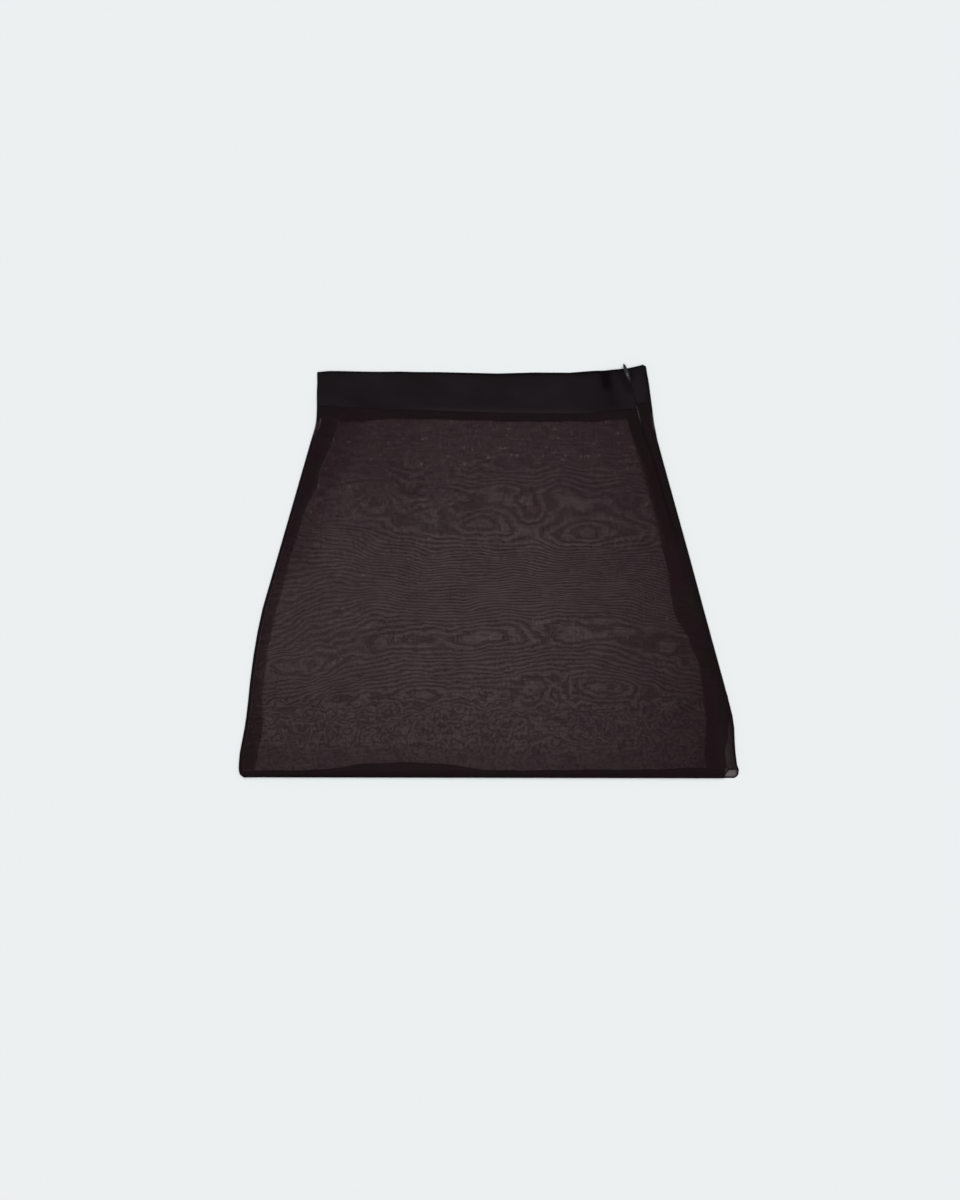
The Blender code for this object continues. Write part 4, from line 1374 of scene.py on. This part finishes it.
def waistband_cloth():
    """A matt crepe band, faced inside. Its upper edge is pressed dark, its lower one a little worn."""
    cloth = Finish("waistband_matt_crepe", roughness=0.8, specular=0.05, sheen=0.03, sheen_roughness=0.5)
    place, across, up = cloth.cloth_place()
    grain = cloth.noise(place, 1500, 2)
    ribs = cloth.plus(cloth.noise(place, 900, 2, stretch=(0.2, 1, 1)), cloth.ribs(up, 0.0009), 0.25)
    cloud = cloth.noise(place, 22, 2, stretch=(1, 1.6, 1))
    plain = cloth.colours(cloud, (0.0058, 0.0038, 0.0046), (0.0142, 0.0101, 0.0124))
    worn = cloth.colours(cloth.fact("worn_edge"), plain, (0.0160, 0.0112, 0.0136))
    # painted shade beside the zip and painted shadow round the slider darken the band's colour here
    with_painted_shade = cloth.colours(cloth.fact("nap"), worn, (0.0030, 0.0009, 0.0024))
    pressed = cloth.times(cloth.fact("pressed_edge"), 0.94, clamp=True)
    cloth.colour(cloth.colours(pressed, with_painted_shade, (0.0006, 0.0004, 0.0005)))
    cloth.bump(cloth.plus(grain, ribs), 0.00012, 0.8)
    return cloth.material


def tape_cloth():
    """Knitted tape, with its ribs along the zip."""
    cloth = Finish("zip_tape_knitted", roughness=0.85, specular=0.08)
    place, across, up = cloth.cloth_place()
    knit = cloth.times(cloth.ribs(across, 0.0011), cloth.ribs(up, 0.0008))
    cloud = cloth.noise(place, 700, 2)
    cloth.colour(cloth.colours(cloud, (0.0175, 0.0150, 0.0165), (0.0300, 0.0230, 0.0265)))
    cloth.bump(knit, 0.00015, 0.8)
    cloth.see_through(cloth.plus(cloth.fact("thickness_share"), 0.45, clamp=True), (1.0, 1.0, 1.0))
    return cloth.material


def nylon():
    """The coil's smooth monofilament, painted paler where it shows at the seam's open end: a painted
    highlight.
    """
    finish = Finish("zip_nylon_coil", roughness=0.5, specular=0.15)
    place = finish.solid_place()
    open_end, open_half = 0.1565, 0.0105
    away = finish.math("ABSOLUTE", finish.minus(finish.apart(place)[1], open_end))
    shows = finish.minus(1.0, finish.math("DIVIDE", away, open_half), clamp=True)
    cloud = finish.noise(place, 900, 2)
    plain = finish.colours(cloud, (0.0050, 0.0040, 0.0046), (0.0080, 0.0065, 0.0074))
    # paler colour where the coil shows at the open end: painted highlight
    finish.colour(finish.colours(finish.math("POWER", shows, 0.6), plain, (0.105, 0.095, 0.102)))
    finish.bump(cloud, 0.00002, 0.4)
    return finish.material


HIGHLIGHT_PLACE = (0.1386, 0.1952, 0.0058)    # the middle of the pull tab's painted highlight, and the tab's underside
HIGHLIGHT_HALF = (0.0012, 0.0046)
SLIDER_TOP = 0.0042                        # below it the slider is in the shade of the seam


def enamel():
    """Dark enamel over metal. Near its eye the pull tab has a painted highlight: a pale patch in its colour.
    Below SLIDER_TOP the slider is painted darker, as painted shade of the seam.
    """
    finish = Finish("zip_dark_enamel", roughness=0.45, specular=0.09)
    place = finish.solid_place()
    x, y, z = finish.apart(place)
    east, north = finish.minus(x, HIGHLIGHT_PLACE[0]), finish.minus(y, HIGHLIGHT_PLACE[1])
    cosine, sine = math.cos(SLIDER_TURN), math.sin(SLIDER_TURN)
    side = finish.plus(finish.times(east, cosine), finish.times(north, sine))
    along = finish.minus(finish.times(north, cosine), finish.times(east, sine))
    away = finish.plus(*(finish.math("POWER", finish.math("DIVIDE", part, half), 2.0)
                         for part, half in zip((side, along), HIGHLIGHT_HALF)))
    on_tab = finish.times(finish.minus(z, HIGHLIGHT_PLACE[2]), 2500.0, clamp=True)
    # a pale oval near the pull tab's eye: painted highlight
    painted_highlight = finish.minus(1.25, finish.plus(away, finish.noise(place, 900, 3)), clamp=True)
    worn = finish.colours(finish.noise(place, 700, 4, 0.6), (0.006, 0.0055, 0.006), (0.018, 0.017, 0.018))
    shown = finish.times(finish.minus(z, SLIDER_TOP), 1500.0, clamp=True)
    plain = finish.colours(shown, (0.0015, 0.0012, 0.0013), worn)
    finish.colour(finish.colours(finish.times(painted_highlight, on_tab), plain, (0.125, 0.112, 0.117)))
    finish.bump(finish.noise(place, 2600, 2), 0.00002, 0.4)
    return finish.material


def thread():
    """Sewing thread to match, with its twist."""
    finish = Finish("sewing_thread", roughness=0.6, specular=0.12, sheen=0.05)
    twist = finish.noise(finish.solid_place(), 5200, 1)
    finish.colour(finish.colours(twist, (0.0080, 0.0045, 0.0058), (0.0140, 0.0085, 0.0105)))
    finish.bump(twist, 0.00003, 0.6)
    return finish.material


# ---------------------------------------------------------------- the surface, the light and the camera

PALE = (0.838, 0.863, 0.871, 1)
FLOOR_HALF = 4.0
FLOOR_DROP = 0.0004
CAMERA_PLACE = (-8.85 * MM, -28.7 * MM, 2.8333)
SUNS = table("name energy width tip roll", ("overhead", 2.18, 44, 0, 0), ("side", 0.55, 30, -14, 12))


def pale_floor():
    corners = [(x * FLOOR_HALF, y * FLOOR_HALF, 0) for x, y in ((-1, -1), (1, -1), (1, 1), (-1, 1))]
    mesh = bpy.data.meshes.new("pale_floor")
    mesh.from_pydata(corners, [], [(0, 1, 2, 3)])
    floor = new_object("pale_floor", mesh)
    floor.location.z = -FLOOR_DROP
    finish = Finish("pale_floor", roughness=0.9, specular=0.0)
    finish.colour(PALE)
    mesh.materials.append(finish.material)


def soft_light():
    """A wide light overhead, a softer one from the side and a little from all round: hardly any shadow."""
    world = bpy.data.worlds.new("studio")
    bpy.context.scene.world = world
    world.use_nodes = True
    tree = world.node_tree
    sky = tree.nodes["Background"]
    feed(tree, sky.inputs["Color"], (1.0, 1.0, 1.0, 1))
    feed(tree, sky.inputs["Strength"], 0.15)
    seen = add_node(tree, "ShaderNodeBackground", {"Color": PALE})
    path = add_node(tree, "ShaderNodeLightPath")
    mix = add_node(tree, "ShaderNodeMixShader", {
        "Fac": path.outputs["Is Camera Ray"], 1: sky.outputs[0], 2: seen.outputs[0]})
    feed(tree, tree.nodes["World Output"].inputs["Surface"], mix.outputs[0])
    for sun in SUNS:
        light = bpy.data.lights.new(sun.name, "SUN")
        light.energy = sun.energy
        light.angle = math.radians(sun.width)
        new_object(sun.name, light).rotation_euler = (math.radians(sun.tip), math.radians(sun.roll), 0)


def camera():
    """Straight above, as in the photo."""
    lens = bpy.data.cameras.new("camera")
    lens.lens = 85
    lens.sensor_width = 36
    lens.clip_end = 20
    holder = new_object("camera", lens)
    holder.location = CAMERA_PLACE
    bpy.context.scene.camera = holder


# ---------------------------------------------------------------- the whole skirt

def build():
    """Every piece, with its body and the solid whose place it takes; the slot named in each row is not used.
    """
    plain, turned, waist, band = chiffon(), turned_chiffon(), waist_chiffon(), waistband_cloth()
    tape, coil, metal, sewing = tape_cloth(), nylon(), enamel(), thread()
    row = row_tree()
    pieces = {}
    for piece, body, slot, node in (
        (back_panel(plain), "skirt", "chiffon", "back_panel"),
        (front_panel(plain), "skirt", "chiffon", "front_panel"),
        (waistband(band), "skirt", "waistband_cloth", "waistband"),
        (front_hem(turned), "skirt", "turned_chiffon", "front_hem"),
        (back_hem(turned), "skirt", "turned_chiffon", "back_hem"),
        (front_waist_turning(waist), "skirt", "turned_chiffon", "front_waist_allowance"),
        (back_waist_turning(waist), "skirt", "turned_chiffon", "back_waist_allowance"),
        (left_allowance(turned), "skirt", "turned_chiffon", "left_seam_allowance"),
        (right_allowance(turned), "skirt", "turned_chiffon", "right_seam_allowance"),
        (zip_allowance(turned), "skirt", "turned_chiffon", "back_zip_allowance"),
        (zip_tape(tape), "skirt", "zip_tape", "zip_tape"),
        (coil_teeth(row, coil), "skirt", "zip_nylon", "zip_coil"),
        (zip_slider(metal), "skirt", "zip_enamel", "zip_slider"),
        (zip_pull(metal), "pull_tab", "zip_enamel", "zip_pull"),
        (overlock(row, sewing), "skirt", "turned_chiffon", None),
        (seam_stitches(row, sewing), "skirt", "turned_chiffon", None),
    ):
        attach(piece, body)
        if node:
            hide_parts(node)
        pieces[piece.name] = piece
    return pieces


def sheets(pieces):
    """The flat cut of what shows of each cloth piece, in metres, listed with what lies under it and the
    pieces that go with it; stitches go with the piece they are on. The list is only read through: the pieces
    are looked up and nothing is made from it.
    """
    back, front, band = "back_panel_cloth", "front_panel_cloth", "waistband_cloth"
    for name, width, length, area, under, others in (
        (back, 0.505, 0.375, 0.158, ["the surface"], ["back_hem_turning"]),
        (front, 0.495, 0.371, 0.148, [back], ["overlock_stitches"]),
        (band, 0.668, 0.045, 0.0252, ["the surface", back], ["seam_stitches"]),
        ("front_hem_turning", 0.484, 0.015, 0.0047, ["back_hem_turning"], []),
        ("front_waist_turning", 0.303, 0.017, 0.0033, ["back_waist_turning"], []),
        ("back_waist_turning", 0.303, 0.013, 0.0028, [back], []),
        ("left_seam_turning", 0.020, 0.345, 0.0043, [back], []),
        ("right_seam_turning", 0.026, 0.352, 0.0060, [back], []),
        ("back_zip_turning", 0.011, 0.127, 0.0008, ["zip_tape_cloth"], []),
        ("zip_tape_cloth", 0.025, 0.182, 0.0036, [back], ["zip_coil_teeth"]),
    ):
        [pieces[other] for other in others]
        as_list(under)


def main():
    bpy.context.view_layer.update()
    scene = bpy.context.scene
    scene.view_settings.view_transform = "Standard"
    scene.view_settings.look = "None"
    scene.cycles.transparent_max_bounces = 40
    pieces = build()
    pale_floor()
    soft_light()
    camera()
    sheets(pieces)


main()
